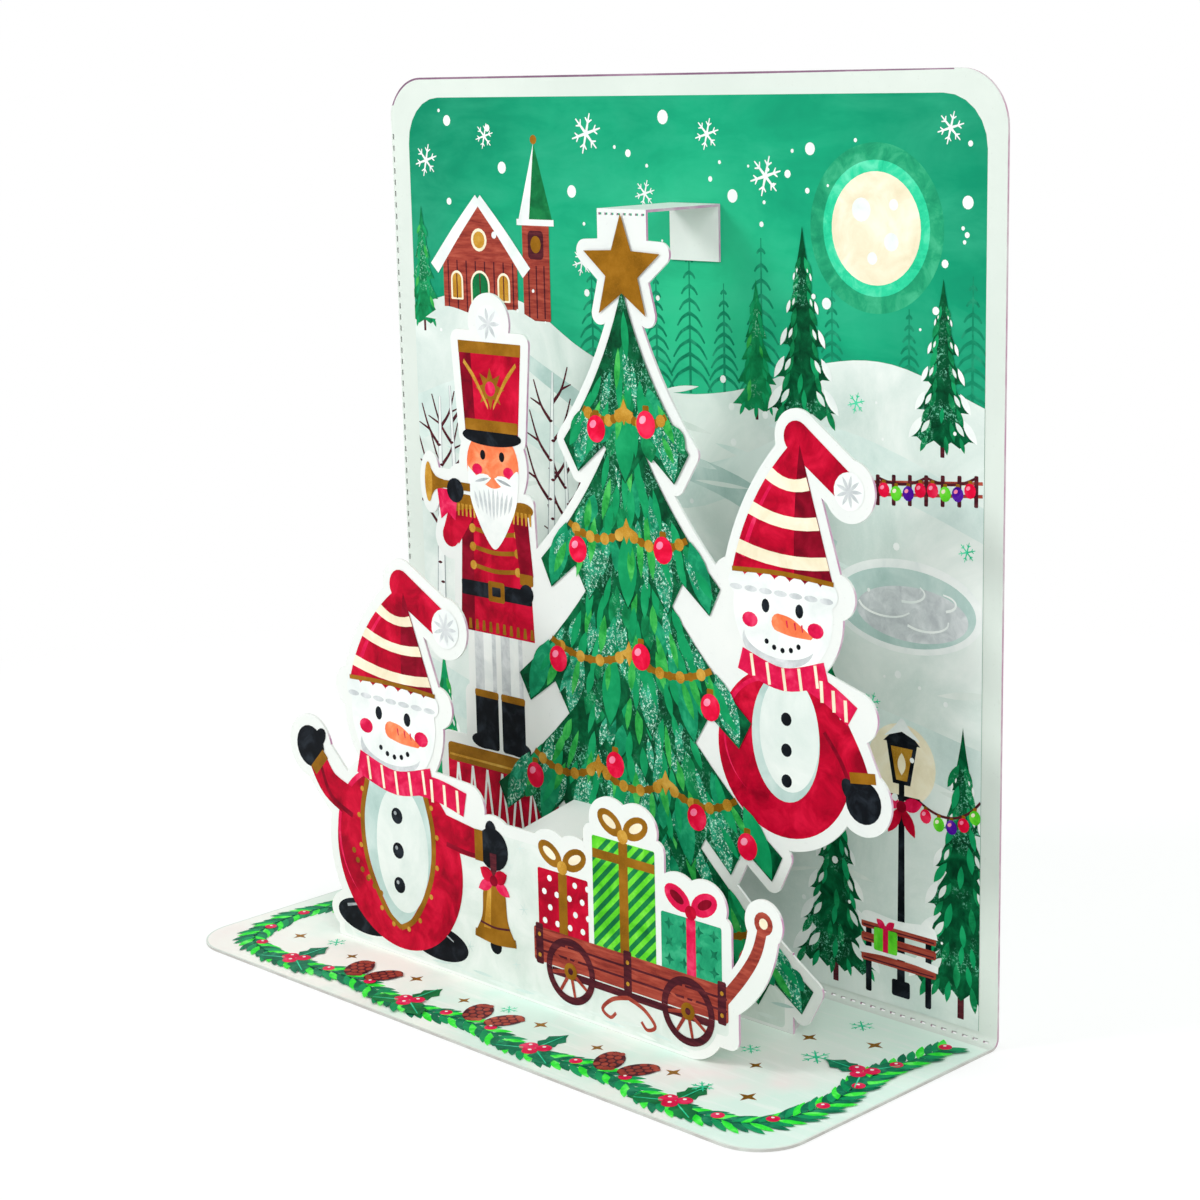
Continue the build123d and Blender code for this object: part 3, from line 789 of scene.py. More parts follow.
# Full moon in a soft halo
for r, tone in ((12.0, "teal"), (9.6, "mint"), (8.0, "cream")):
    back.disc(*moon, r, tone, 0.9 - r * 0.05)
for dx, dz, r in ((-2.6, 2.6, 1.7), (2.8, -1.8, 1.3), (-0.6, -4.2, 0.9), (3.2, 3.4, 0.8)):
    back.disc(moon[0] + dx, moon[1] + dz, r, "white", 0.8, count=16)
far_foot = 91  # hidden behind the brow of the hill
for x, height in ((-16, 20), (-9, 25), (-2, 18), (5, 22), (12, 17), (19.5, 24), (33, 17), (47, 15), (58, 20)):
    far_fir(x, far_foot, height)
# Snow hills, high on the left, with shaded dips
hill = smooth([
    (left_x, 101), (-46, 104), (-32, 103), (-18, 96), (-2, 91), (14, 92), (30, 97), (44, 98), (right_x, 93),
])
back.shape(hill + [(right_x, low_z), (left_x, low_z)], "snow", 2)
for upper, lower in (
    (
        [(left_x, 86), (-42, 90), (-24, 83), (-6, 78), (14, 82), (30, 88), (46, 85), (right_x, 79)],
        [(right_x, 74), (44, 79), (26, 81), (4, 73), (-20, 76), (-42, 83), (left_x, 78)],
    ),
    (
        [(left_x, 40), (-30, 34), (0, 40), (30, 48), (right_x, 44)],
        [(right_x, 36), (30, 41), (0, 32), (-30, 27), (left_x, 32)],
    ),
):
    back.between(upper, lower, "snow_shade", 3)
# Trodden way from the chapel, behind the tree, to the pond
back.stroke([(-41.5, 100.5), (-34, 95), (-22, 89), (-6, 82), (14, 77), (33, 69)], 1.6, "path", 4, 5.0)
# Brush marks in the snow
for _ in range(80):
    x, z = rng.uniform(-57, 58), rng.uniform(5, 92)
    tone = rng.choice(("snow", "pale", "pale", "snow_shade"))
    back.leaf(x, z, rng.uniform(5, 12), rng.uniform(0.5, 1.2), rng.uniform(-16, 16), tone, 4.8)
chapel(-42.0, 100.5)
pond(46.5, 63.0, 12.6, 5.8)
fence(41.5, 77.5, 7)
lights((41.5, 81.6), (50.2, 82.4), 1.0, 4, 6.2)
lights((50.2, 82.4), (58.9, 83.2), 1.0, 4, 6.2)

greens = ("fir_dark", "fir_mid", "fir_leaf")
cool = ("fir_mid", "fir_leaf", "fir_light")
bright = ("fir_leaf", "fir_light", "fir_mid")
fir(-56.2, 97, 21, 4.4, cool, 4.9)
fir(18.5, 88, 21, 4.8, cool, 6)
fir(27.5, 87, 30, 6.8, greens, 6.5, snowy=True)
fir(53.0, 85.5, 25, 6.0, greens, 6.5, snowy=True)
fir(-54.5, 6, 36, 8.0, bright, 9, snowy=True)
fir(31.0, 38, 26, 6.0, cool, 7)
fir(33.5, 3, 33, 8.6, greens, 8, snowy=True)
fir(57.0, 3, 44, 9.6, greens, 9.5, 6, True)
birch(-54.5, 48, 38, 1.9, 1.4)
birch(-49.0, 44, 44, 1.6, -1.5)
birch(-27.0, 56, 36, 1.7, 1.6)
birch(-22.0, 50, 30, 1.3, -1.0)
street_lamp(46.0, 3.5, 33.0)
bench(38.5, 3.0, 14.0)
lights((34.2, 33.5), (42.8, 34.6), 2.2, 4, 12.2)
lights((49.2, 34.6), (right_x, 36.5), 2.4, 5, 12.2)
# Falling snow, none on the moon and less of it before the hills
moon_clear, hill_z, left_out = 10, 92, 0.45
for _ in range(150):
    x, z = rng.uniform(-56, 58), rng.uniform(4, 134)
    if math.dist((x, z), moon) < moon_clear or (z < hill_z and rng.random() < left_out):
        continue
    back.disc(x, z, rng.choice((0.22, 0.3, 0.3, 0.42, 0.6)), "white", 13, count=9)
for x, z in ((-49, 132), (-36, 124.5), (-20, 121), (0, 132.5), (14, 121), (29, 128), (57, 121), (32, 106)):
    back.disc(x, z, rng.uniform(0.8, 1.1), "white", 13, count=14)
for x, z, r, tone in (
    (-54.5, 125.5, 2.7, "white"), (-40, 129.5, 2.1, "white"), (-16.5, 130, 3.2, "white"),
    (-18, 110, 2.2, "white"), (-4, 121, 2.1, "white"), (9, 130, 2.4, "white"), (20.5, 124, 3.0, "white"),
    (54, 131, 2.3, "white"), (-36, 80, 1.9, "mint"), (37.5, 92, 1.6, "mint"), (57.4, 72.5, 1.5, "mint"),
    (40.5, 48, 1.6, "mint"),
):
    back.flake(x, z, r, tone, 13)
# A thin painted line round the left corner and along the top: painted shade of the panel's cut edge
back.clip = None
corner = (corner_r - half_width, card_top - corner_r)
inner = arc(*corner, corner_r - 0.34, None, 90, 153, 12)
back.shape(arc(*corner, corner_r - 0.03, None, 154, 90, 12) + inner, "mauve", 0)
trim = ((corner[0], 0.34), (20, 0.32), (54.5, 0.2), (54.5, 0.03), (corner[0], 0.03))
back.shape([(x, card_top - below) for x, below in trim], "mauve", 0)
back.done()


# Base: a garland round a pale field

base = Picture("print_base", lambda x, y, lift: (x, y, base_z + lift))


def garland(points):
    """A fir garland: a stem with short needles and a few berries."""
    line = smooth(points, 9)
    base.stroke(points, 0.9, "leaf_dark", 1, per=9)
    for i, (x, y) in enumerate(line[1:-1]):
        (ax, ay), (bx, by) = line[i], line[i + 2]
        heading = math.degrees(math.atan2(by - ay, bx - ax))
        for k, side in enumerate(BOTH):
            tone = ("leaf_dark", "fir_leaf", "leaf_bright")[(i + k) % 3]
            base.leaf(x, y, 4.6 * rng.uniform(0.8, 1.15), 1.3, heading + side * 38, tone, 2)
        if i % 6 == 4:
            base.disc(x, y + 1.2, 1.0, "crimson", 3)
            base.disc(x - 0.3, y + 1.5, 0.26, "blush", 3.6, count=8)


def cone(x, y, turn, length):
    """A pine cone with rows of rounded scales."""
    a = math.radians(turn)
    base.disc(x, y, length * 0.5, "wood_dark", 3, rz=length * 0.32, turn=turn)
    for row in range(5):
        u = (0.38 - 0.19 * row) * length
        half = length * 0.3 * math.sqrt(1 - (2 * u / length) ** 2)
        for k in (-1, 0, 1):
            v = half * 0.62 * (k + (0.25 if row % 2 else -0.25))
            px, py = x + u * math.cos(a) - v * math.sin(a), y + u * math.sin(a) + v * math.cos(a)
            base.disc(px, py, length * 0.09, "wood", 3.3, rz=length * 0.075, count=12, turn=turn)


def holly(x, y, turn, size, tone="leaf_dark"):
    """Three scalloped leaves round three berries."""
    pic = base.at(x, y)
    for side in (-62, 62, 180):
        a = math.radians(turn + side)
        c, s = math.cos(a), math.sin(a)
        outline = []
        for edge in (1, -1):
            for i in range(7):
                t = i / 6 if edge > 0 else 1 - i / 6
                swell = math.sin(math.pi * t) * size * 0.26
                u, v = t * size, edge * swell * (0.72 if i % 2 else 1.15)
                outline.append((u * c - v * s, u * s + v * c))
        pic.shape(outline, tone, 2)
        pic.stroke([(0, 0), (size * 0.85 * c, size * 0.85 * s)], 0.3, "mint", 3, 0.15)
    for dx, dy in ((-0.9, 0.2), (0.8, 0.7), (0.1, -0.9)):
        pic.disc(1.3 * dx, 1.3 * dy, 1.2, "crimson", 4)
        pic.disc(1.3 * dx - 0.3, 1.3 * dy + 0.35, 0.3, "blush", 4.6, count=8)


bare = 0.3  # card left free at the edges
outline = []
for side, start in ((-1, 180), (1, 270)):
    middle = (side * (half_width - corner_r), corner_r - half_depth)
    outline += arc(*middle, corner_r - bare, None, start, start + 90, 12)
base.shape(outline + [(half_width - bare, 23.0), (bare - half_width, 23.0)], "base", 0)
garland([
    (-58.5, 19), (-57, 5), (-58.5, -8), (-54.5, -19), (-42, -22.0), (-28, -20.0), (-14, -22.0), (0, -20.0),
    (14, -22.0), (28, -20.0), (42, -22.0), (54.5, -19), (58.5, -8), (57, 5), (58.5, 19),
])
for x, tone in ((-42, "leaf_dark"), (-14, "green"), (14, "leaf_dark"), (42, "green")):
    holly(x, -20.4, -90, 7.0, tone)
holly(-55.0, 4.5, 180, 6.8, "green")
holly(55.0, 4.5, 0, 6.8)
for x in (-28, 0, 28):
    cone(x - 2.6, -16.4, 118, 7.0)
    cone(x + 2.8, -16.0, 62, 6.4)
# Small gold stars and frost on the free field
for x, y, r in (
    (-50, -13, 1.5), (-36, -13.5, 1.3), (-20.5, -13.2, 1.5), (-8, -14.4, 1.3), (8, -13.4, 1.5),
    (20.5, -14, 1.3), (35, -13.2, 1.5), (48.5, -12.5, 1.7), (42, -3.5, 1.3), (50, 13.5, 1.6),
    (41, 9.5, 1.5), (-49, -3, 1.5), (-44, 12, 1.4),
):
    base.star(x, y, r, 0.36, "gold", 3)
for x, y, r in (
    (46.5, 4.5, 2.4), (44, 18, 2.0), (37.5, 0.5, 1.7), (-48, 6, 2.1), (41.5, -14.2, 1.8), (-43, -11, 1.7),
    (0, -12.4, 1.5),
):
    base.flake(x, y, r, "mint", 3)
base.done()


# Tree layer: the fir

tree = Picture("print_tree_layer", lambda x, z, lift: (x, tree_y - lift, z))
tree_x, star_z = 6.5, 111.0
tier_count, low_tip_z, low_half, tier_narrow = 5, 8.0, 36.0, 5.75
low_rise, rise_less = 34.0, 2.6
top_rise = low_rise - rise_less * (tier_count - 1)
pitch = (star_z - 2.6 - top_rise - low_tip_z) / (tier_count - 1)
hollow = 0.05  # how far a tier's sides curve in, for their length


def tier_at(n):
    """Half width, height of the hem and height of the point of a tier."""
    tip = low_tip_z + pitch * n
    return low_half - tier_narrow * n, tip, tip + low_rise - rise_less * n


def tier_layer(n):
    """The lowest layer of a tier's picture."""
    return 3 + 2.4 * n


def tier_half(n, z):
    """Half width of a tier's picture at a height."""
    half, tip, apex = tier_at(n)
    t = (apex - z) / (apex - tip)
    if t <= 0 or t > 1:
        return 0 if t <= 0 else half
    return half * t - hollow * math.hypot(half, apex - tip) * 4 * t * (1 - t)


def hem(half, tip):
    """The boughs along a tier's hem: middle, inner end and point of each."""
    count = round(2 * half / 8.0)
    for b in range(count):
        outer, inner = (half * (1 - 2 * k / count) for k in (b, b + 1))
        mid = (outer + inner) / 2
        drop = 3.6 + 2.0 * (1 - (mid / half) ** 2)
        yield mid, inner, (tree_x + mid + 2.0 * mid / half, tip - drop)


def draw_tier(n):
    half, tip, apex = tier_at(n)
    layer = tier_layer(n)
    top, curve = (tree_x, apex), -hollow * math.hypot(half, apex - tip)
    outline = sagitta((tree_x - half, tip), top, curve, 10)
    outline += sagitta(top, (tree_x + half, tip), curve, 10)[1:]
    for _, inner, point in hem(half, tip):
        outline += [point, (tree_x + inner, tip - 0.2)]
    tree.shape(outline[:-1], "fir_dark", layer)

    def inside(x, z):
        return tip - 2.2 < z < apex - 1.5 and abs(x - tree_x) < tier_half(n, max(z, tip)) - 0.7

    def aim(x):
        return -90 + 52 * ((x - tree_x) / half)

    box = (tree_x - half, tip - 2.0, tree_x + half, apex)
    dabs = ("fir_mid", "fir_dark", "fir_teal", "fir_mid", "fir_frost")
    stroke_field(tree, inside, box, int(half * 1.5), dabs, layer + 0.4, 6.2, 2.8, aim)
    # Pointed boughs over the hem, some of them frosted
    for b, (mid, _, (px, pz)) in enumerate(hem(half, tip)):
        dx, dz = px - (tree_x + mid * 0.86), pz + 0.3 - (tip + 6.4)
        tone = ("fir_frost", "fir_leaf", "fir_frost", "fir_teal")[(b + n) % 4]
        turn = math.degrees(math.atan2(dz, dx))
        tree.leaf(tree_x + mid * 0.86, tip + 6.4, math.hypot(dx, dz), 4.0, turn, tone, layer + 0.7)
    needles = ("fir_leaf", "fir_light", "fir_frost", "fir_leaf")
    stroke_field(tree, inside, box, int(half * 2.4), needles, layer + 1.0, 6.4, 1.5, aim, 1.9)


def draw_swag(n, low, dip):
    """A string of gold beads across one tier, in even dips."""
    layer = tier_layer(n) + 1.9
    z = tier_at(n)[1] + low
    reach = tier_half(n, z + dip) - 0.6
    dips = max(2, round(reach / 7.5))
    width = 2 * reach / dips
    for d in range(dips):
        x0 = tree_x - reach + d * width
        line = [(x0 + width * t / 8, z + dip - dip * 4 * (t / 8) * (1 - t / 8)) for t in range(9)]
        tree.stroke(line, 1.0, "gold", layer, per=2)
        for t in range(1, 8):
            r, tone = (0.95, "gold_light") if t % 2 else (0.7, "gold")
            tree.disc(*line[t], r, tone, layer + 0.2, count=12)
        if d:
            tree.star(x0, z + dip, 2.0, 0.45, "gold_light", layer + 0.35, turn=0)


for n in range(tier_count):
    draw_tier(n)
    draw_swag(n, 4.6 if n < tier_count - 1 else 3.6, 2.6 - 0.25 * n)
# Baubles, each on the highest tier that has its hem below it
for x, z in (
    (-20, 12), (-3, 16), (15, 11), (30, 9.5), (-15, 30), (3, 35), (20, 30), (30, 27.5), (-9, 50), (9, 53),
    (23, 47.5), (-4, 68), (14, 70), (0.6, 87), (11, 88.5),
):
    n = max(i for i in range(tier_count) if tier_at(i)[1] - 3 <= z)
    tree.bauble(x, z, 2.1, "cherry", "pink", tier_layer(n) + 2.3)
tree.star(tree_x, star_z, 8.2, 0.42, "gold", 16, points=5)


# Figures

def woolly_cap(pic, r, rise, pom, layer):
    """A long red cap with knitted stripes, a white brim and a pompom."""
    brim_z = r * 0.35
    peak, tip = (r * 0.3, rise - r * 0.3), (r * 1.3, rise * 0.66)
    left, right = (-r * 1.05, brim_z), (r * 1.05, brim_z)
    edge = sagitta(left, peak, r * 0.22, 12)
    pic.shape(edge + sagitta(peak, right, 0, 2)[1:], "red", layer)
    w = r * 0.5
    pic.disc(*peak, w / 2, "red", layer, count=20)
    pic.stroke([peak, ((peak[0] + tip[0]) / 2, (peak[1] + tip[1]) / 2), tip], w, "red", layer, w * 0.92)
    pic.shape(sagitta((r * 0.25, brim_z), (r * 0.36, peak[1] - 1.0), 0.5, 8) + [right], "wine", layer + 0.3)
    pic.stroke([(x + 1.3, z - 0.5) for x, z in edge[2:10]], 0.9, "crimson", layer + 0.4, 0.4, 2)
    for first in (2, 5, 8):
        low_end, high_end = (
            tuple(a + (b - a) * k / 12 for a, b in zip(right, peak)) for k in (first, first + 1)
        )
        band = sagitta(edge[first], low_end, -0.9, 6) + sagitta(high_end, edge[first + 1], 0.9, 6)
        pic.shape(band, "cream", layer + 0.7)
    bumps = [left[0] + (right[0] - left[0]) * (i + 0.5) / 7 for i in range(7)]
    for x in bumps:
        pic.disc(x, brim_z, r * 0.19, "white", layer + 1.0, rz=1.85)
    for x in bumps:
        pic.disc(x - 0.3, brim_z - 0.8, r * 0.13, "grey", layer + 1.3, rz=0.45)
    trim = [(left[0] + 0.4, brim_z + 1.75), (0, brim_z + 2.15), (right[0] - 0.4, brim_z + 1.75)]
    pic.stroke(trim, 0.7, "gold", layer + 1.5)
    pic.disc(*tip, pom, "white", layer + 1.6)
    for k in range(9):
        pic.leaf(*tip, pom * 0.86, pom * 0.2, 40 * k, "grey", layer + 1.9)


def snow_head(pic, r, layer):
    """A snowman's head with coal eyes and mouth, and rosy cheeks."""
    pic.disc(0, 0, r, "white", layer)
    pic.disc(-r * 0.1, -r * 0.52, r * 0.72, "grey", layer + 0.25, rz=r * 0.38)
    pic.disc(-r * 0.04, -r * 0.40, r * 0.74, "white", layer + 0.4, rz=r * 0.36)
    for side in BOTH:
        pic.disc(side * r * 0.34, r * 0.04, r * 0.08, "black", layer + 0.7, rz=r * 0.11, count=12)
        pic.disc(side * r * 0.66, -r * 0.22, r * 0.16, "crimson", layer + 0.6, rz=r * 0.12, count=14)
    for i in range(5):
        a = math.radians(-125 + i * 17.5)
        x, z = math.cos(a) * r * 0.56, -r * 0.06 + math.sin(a) * r * 0.56
        pic.disc(x, z, r * 0.045, "black", layer + 0.7, count=8)


def carrot(pic, r, layer):
    """A carrot nose that points to the right."""
    top = [(-r * 0.12, -r * 0.05), (r * 0.16, -r * 0.10), (r * 0.56, -r * 0.33)]
    under = [(r * 0.52, -r * 0.37), (r * 0.14, -r * 0.37), (-r * 0.12, -r * 0.33)]
    butt = arc(-r * 0.12, -r * 0.19, r * 0.14, None, 260, 100, 7)
    pic.shape(smooth(top) + smooth(under) + butt, "peach", layer)
    for t in (0.04, 0.2, 0.34):
        crease = [(r * t, -r * 0.13 - t), (r * (t + 0.02), -r * 0.24 - t)]
        pic.stroke(crease, 0.32, "crimson", layer + 0.3, 0.18)


def scarf(pic, half, end, width, layer):
    """A striped scarf round the neck with one end blown out."""
    neck = [(-half, 0.8), (0, -1.2), (half, 0.8)]
    pic.stroke(neck, width, "crimson", layer)
    for x, z in smooth(neck)[2:-2:2]:
        pic.stroke([(x, z + width * 0.48), (x + 0.5, z - width * 0.48)], 0.55, "cream", layer + 0.3)
    (ex, ez), sx, sz = end, half * 0.5, -0.4
    pic.stroke([(sx, sz), ((sx + ex) / 2, ez / 2 + 0.3), end], width * 0.9, "crimson", layer, width)
    for t in (0.35, 0.6, 0.85):
        x, z = sx + (ex - sx) * t, sz + (ez - sz) * t
        pic.stroke([(x, z + width * 0.46), (x + 0.2, z - width * 0.46)], 0.6, "cream", layer + 0.3)


def arm(pic, layer, sleeve, fold, cuff, mitten, thumb):
    """A red sleeve with a shaded fold, a gold cuff and a black mitten."""
    for (points, *widths), tone, lift in ((sleeve, "red", 0), (fold, "wine", 0.3), (cuff, "gold", 0.6)):
        pic.stroke(points, widths[0], tone, layer + lift, widths[-1])
    pic.disc(*mitten, "black", layer + 0.4)
    x, z, rx, rz, turn = thumb
    pic.disc(x, z, rx, "black", layer + 0.4, rz=rz, turn=turn)


def coat(body, *fields):
    """Round fields of a coat: place, half width, half height, tone and layer."""
    for x, z, rx, rz, tone, layer in fields:
        body.disc(x, z, rx, tone, layer, rz=rz)


def peeping_snowman():
    """The snowman to the right of the tree."""
    body, r, head_up, head_r = tree.at(37.0, 43.0), 12.8, 21.0, 9.4
    coat(
        body, (0, 0, r - 0.2, r - 0.2, "red", 0.6), (-2.4, 1.6, r * 0.72, r * 0.74, "crimson", 0.8),
        (-2.2, 1.2, r * 0.7, r * 0.72, "red", 0.9), (0.4, 2.4, 6.4, 9.6, "path", 1.1),
        (1.1, 3.1, 5.6, 8.7, "snow", 1.3),
    )
    for z in (-4.0, 0.6, 5.2):
        body.disc(0.6, z, 1.0, "black", 1.6, count=14)
    sx, sz = r * 0.72, r * 0.46
    hx, hz = r * 1.15, -r * 0.35
    ex, ez = (sx + hx) / 2 + 0.6, (sz + hz) / 2
    arm(
        body, 1.6, sleeve=([(sx, sz), (ex, ez), (hx, hz)], 5.2, 4.4),
        fold=([(sx - 1.6, sz - 1.4), (ex - 1.9, ez), (hx - 1.8, hz + 0.8)], 0.6, 0.8),
        cuff=([(hx - 2.4, hz + 3.2), (hx + 2.2, hz + 3.8)], 1.6),
        mitten=(hx, hz, 3.2), thumb=(hx - 2.5, hz + 1.3, 1.2, 1.9, 35),
    )
    head = body.at(0, head_up)
    scarf(head.at(0, 0.6 - head_r), head_r * 0.86, (r, -4.6), 3.4, 2.5)
    snow_head(head, head_r - 0.1, 2.0)
    carrot(head.at(0.4, 0), head_r, 3.5)
    woolly_cap(head, head_r, 28.0, 2.7, 3.2)


def drum(pic):
    """A red drum with white laces between gold hoops."""
    half, laced, laces = 13, 12.4, 7
    pic.plate(-half, 12.4, half, 31.6, 1.0, "red", 1)
    lace = 2 * laced / laces
    for i in range(laces):
        left = -laced + i * lace
        pic.stroke([(left, 15.4), (left + lace / 2, 28.6)], 0.5, "white", 1.4)
        pic.stroke([(left + lace / 2, 28.6), (left + lace, 15.4)], 0.5, "white", 1.4)
    for z in (12.2, 28.8):
        pic.plate(-half, z, half, z + 3.1, 0.8, "gold", 1.8)
        pic.stroke([(-12.6, z + 1.0), (12.6, z + 1.0)], 0.4, "gold_light", 2.2)


def boots_and_trousers(pic):
    for side in BOTH:
        leg = pic.at(side * 3.1, 0)
        leg.plate(-2.5, 39.5, 2.5, 52.6, 0.5, "grey", 1.4)
        leg.plate(-0.4, 40.5, 1.6, 52.0, 0.5, "white", 1.8)
        leg.plate(-2.7, 32.2, 2.7, 42.0, 0.6, "black", 2.2)
        leg.disc(side * 0.9, 33.4, 3.0, "black", 2.4, rz=1.3)
        leg.plate(-2.8, 40.8, 2.8, 42.0, 0.4, "gold", 2.6)


def red_coat(pic):
    """A coat with a shaded side, a belt with a buckle, three gold cords and a fringe."""
    pic.shape([(-8.6, 51.6), (8.6, 51.6), (7.4, 73.2), (-7.4, 73.2)], "red", 3)
    pic.shape([(-8.6, 51.6), (-5.4, 51.6), (-4.8, 73.2), (-7.4, 73.2)], "wine", 3.3)
    pic.plate(-8.2, 57.4, 8.2, 59.9, 0.3, "black", 3.8)
    pic.plate(-1.9, 57.0, 1.9, 60.3, 0.4, "gold", 4.2)
    pic.plate(-1.0, 57.9, 1.0, 59.4, 0.2, "black", 4.5)
    for z in (62.0, 65.0, 68.0):
        pic.stroke([(-5.0, z + 0.5), (0, z), (5.0, z + 0.5)], 0.7, "gold", 3.8)
        for side in BOTH:
            pic.disc(side * 5.2, z + 0.5, 0.75, "gold_light", 4.1, count=12)
    for i in range(11):
        fx = -8.0 + i * 1.6
        pic.stroke([(fx, 51.9), (fx, 53.6)], 0.8, "gold", 3.8, 0.5)


def soldier_arms(pic):
    """The near arm, bent up to the trumpet, the far arm, which hangs, and the epaulettes."""
    pic.stroke([(-6.6, 71.4), (-10.2, 66.8)], 4.2, "red", 4.4)
    pic.stroke([(-10.4, 66.8), (-8.0, 73.4)], 3.8, "red", 4.6, 3.4)
    pic.disc(-10.4, 66.8, 2.0, "red", 4.6)
    pic.stroke([(-9.3, 71.4), (-7.1, 72.0)], 1.3, "gold", 5.0)
    pic.stroke([(6.0, 71.6), (7.2, 62.0)], 3.4, "wine", 4.4, 3.0)
    pic.plate(5.6, 60.6, 8.6, 62.4, 0.3, "gold", 4.8)
    pic.disc(7.0, 59.2, 1.6, "black", 4.8)
    for side in BOTH:
        shoulder = pic.at(side * 6.45, 0)
        shoulder.disc(0, 72.6, 2.6, "gold", 5.2, rz=1.2)
        for i in range(5):
            shoulder.stroke([(-1.8 + i * 0.9, 72.2), (-1.9 + i * 0.95, 70.2)], 0.6, "gold_light", 5.4, 0.35)


def bearded_head(pic):
    """A plain face with a broad white beard and a moustache."""
    pic.disc(0, 79.0, 6.0, "peach", 5.4, rz=5.9)
    for side in BOTH:
        pic.disc(side * 3.6, 78.2, 1.2, "crimson", 5.8, rz=0.9)
    for side in BOTH:
        pic.disc(side * 2.2, 80.6, 0.62, "black", 5.9, rz=0.8, count=12)
    beard = [(-5.8, 78.6), (-5.4, 73.6), (-3.4, 69.4), (-1.4, 66.6), (0, 65.6)]
    pic.shape(smooth(mirrored(beard) + [(2.6, 76.2), (0, 75.4), (-2.6, 76.2)]), "white", 6.2)
    for i in range(9):
        bx = -4.4 + i * 1.1
        pic.leaf(bx, 75.6 - abs(bx) * 0.2, 5.4 - abs(bx) * 0.5, 0.6, -90 - bx * 4, "grey", 6.6)
    for side in BOTH:
        pic.leaf(side * 0.2, 77.2, 5.4, 1.9, 90 - side * 104, "white", 7)
        pic.leaf(side * 0.8, 77.0, 3.6, 0.5, 90 - side * 104, "grey_dark", 7.3)
    pic.disc(0, 78.3, 1.5, "peach", 7.6, rz=1.3)


def shako(pic):
    """A tall red hat with a peak, gold bands and cords, a star and a white tuft."""
    pic.shape([(-6.0, 83.2), (6.0, 83.2), (7.2, 98.3), (-7.2, 98.3)], "red", 6)
    pic.shape([(-6.0, 83.2), (-3.6, 83.2), (-4.4, 98.3), (-7.2, 98.3)], "wine", 6.3)
    pic.disc(0, 83.6, 6.8, "black", 6.6, rz=1.5)
    pic.plate(-6.1, 84.4, 6.1, 86.2, 0.4, "gold", 6.9)
    pic.shape([(-7.1, 96.6), (7.1, 96.6), (7.2, 98.5), (-7.2, 98.5)], "gold", 6.9)
    pic.star(0, 91.2, 3.3, 0.5, "gold", 6.9, points=8)
    pic.disc(0, 91.2, 1.2, "crimson", 7.2)
    for side in BOTH:
        upper = [(side * 5.9, 95.6), (side * 3.4, 93.0), (side * 0.6, 88.6)]
        lower = [(side * 0.6, 87.9), (side * 3.6, 92.2), (side * 6.1, 95.0)]
        pic.between(upper, lower, "gold_light", 7.0)
    pic.disc(0, 101.4, 2.9, "white", 7)
    for i in range(7):
        pic.leaf(0, 101.4, 2.6, 0.7, i * 51, "grey", 7.3)


def trumpet(pic):
    """A trumpet with a banner, in a black glove."""
    pic.stroke([(-5.4, 75.0), (-12.4, 75.0)], 1.3, "gold", 8)
    flare = [(-11.8, 75.7), (-13.8, 76.2), (-15.4, 78.2)]
    pic.between(flare, [(-15.4, 71.8), (-13.8, 73.8), (-11.8, 74.3)], "gold", 8)
    pic.disc(-15.4, 75.0, 0.9, "gold_light", 8.3, rz=3.3)
    pic.disc(-9.0, 74.2, 2.0, "black", 8.3)
    pic.shape([(-8.4, 74.2), (-13.4, 74.2), (-12.6, 69.2), (-10.9, 70.4), (-9.2, 69.2)], "crimson", 7.6)


peeping_snowman()
# A toy soldier on a drum, to the left of the tree
for part in (drum, boots_and_trousers, red_coat, soldier_arms, bearded_head, shako, trumpet):
    part(tree.at(-23.0, 0))
# Pale print on the foot, with soft brush marks
tree.plate(-34.4, 0.9, 36.9, 12.6, 0.8, "pale", -1)
for i in range(22):
    z, tone = 2.0 + (i * 5 % 4) * 2.3, "snow" if i % 3 else "path"
    tree.leaf(-33 + i * 3.2, z, 4.6, 0.6, rng.uniform(-6, 10), tone, 0)
tree.done()


# Front layer

front = Picture("print_front_layer", lambda x, z, lift: (x, front_y - lift, z))


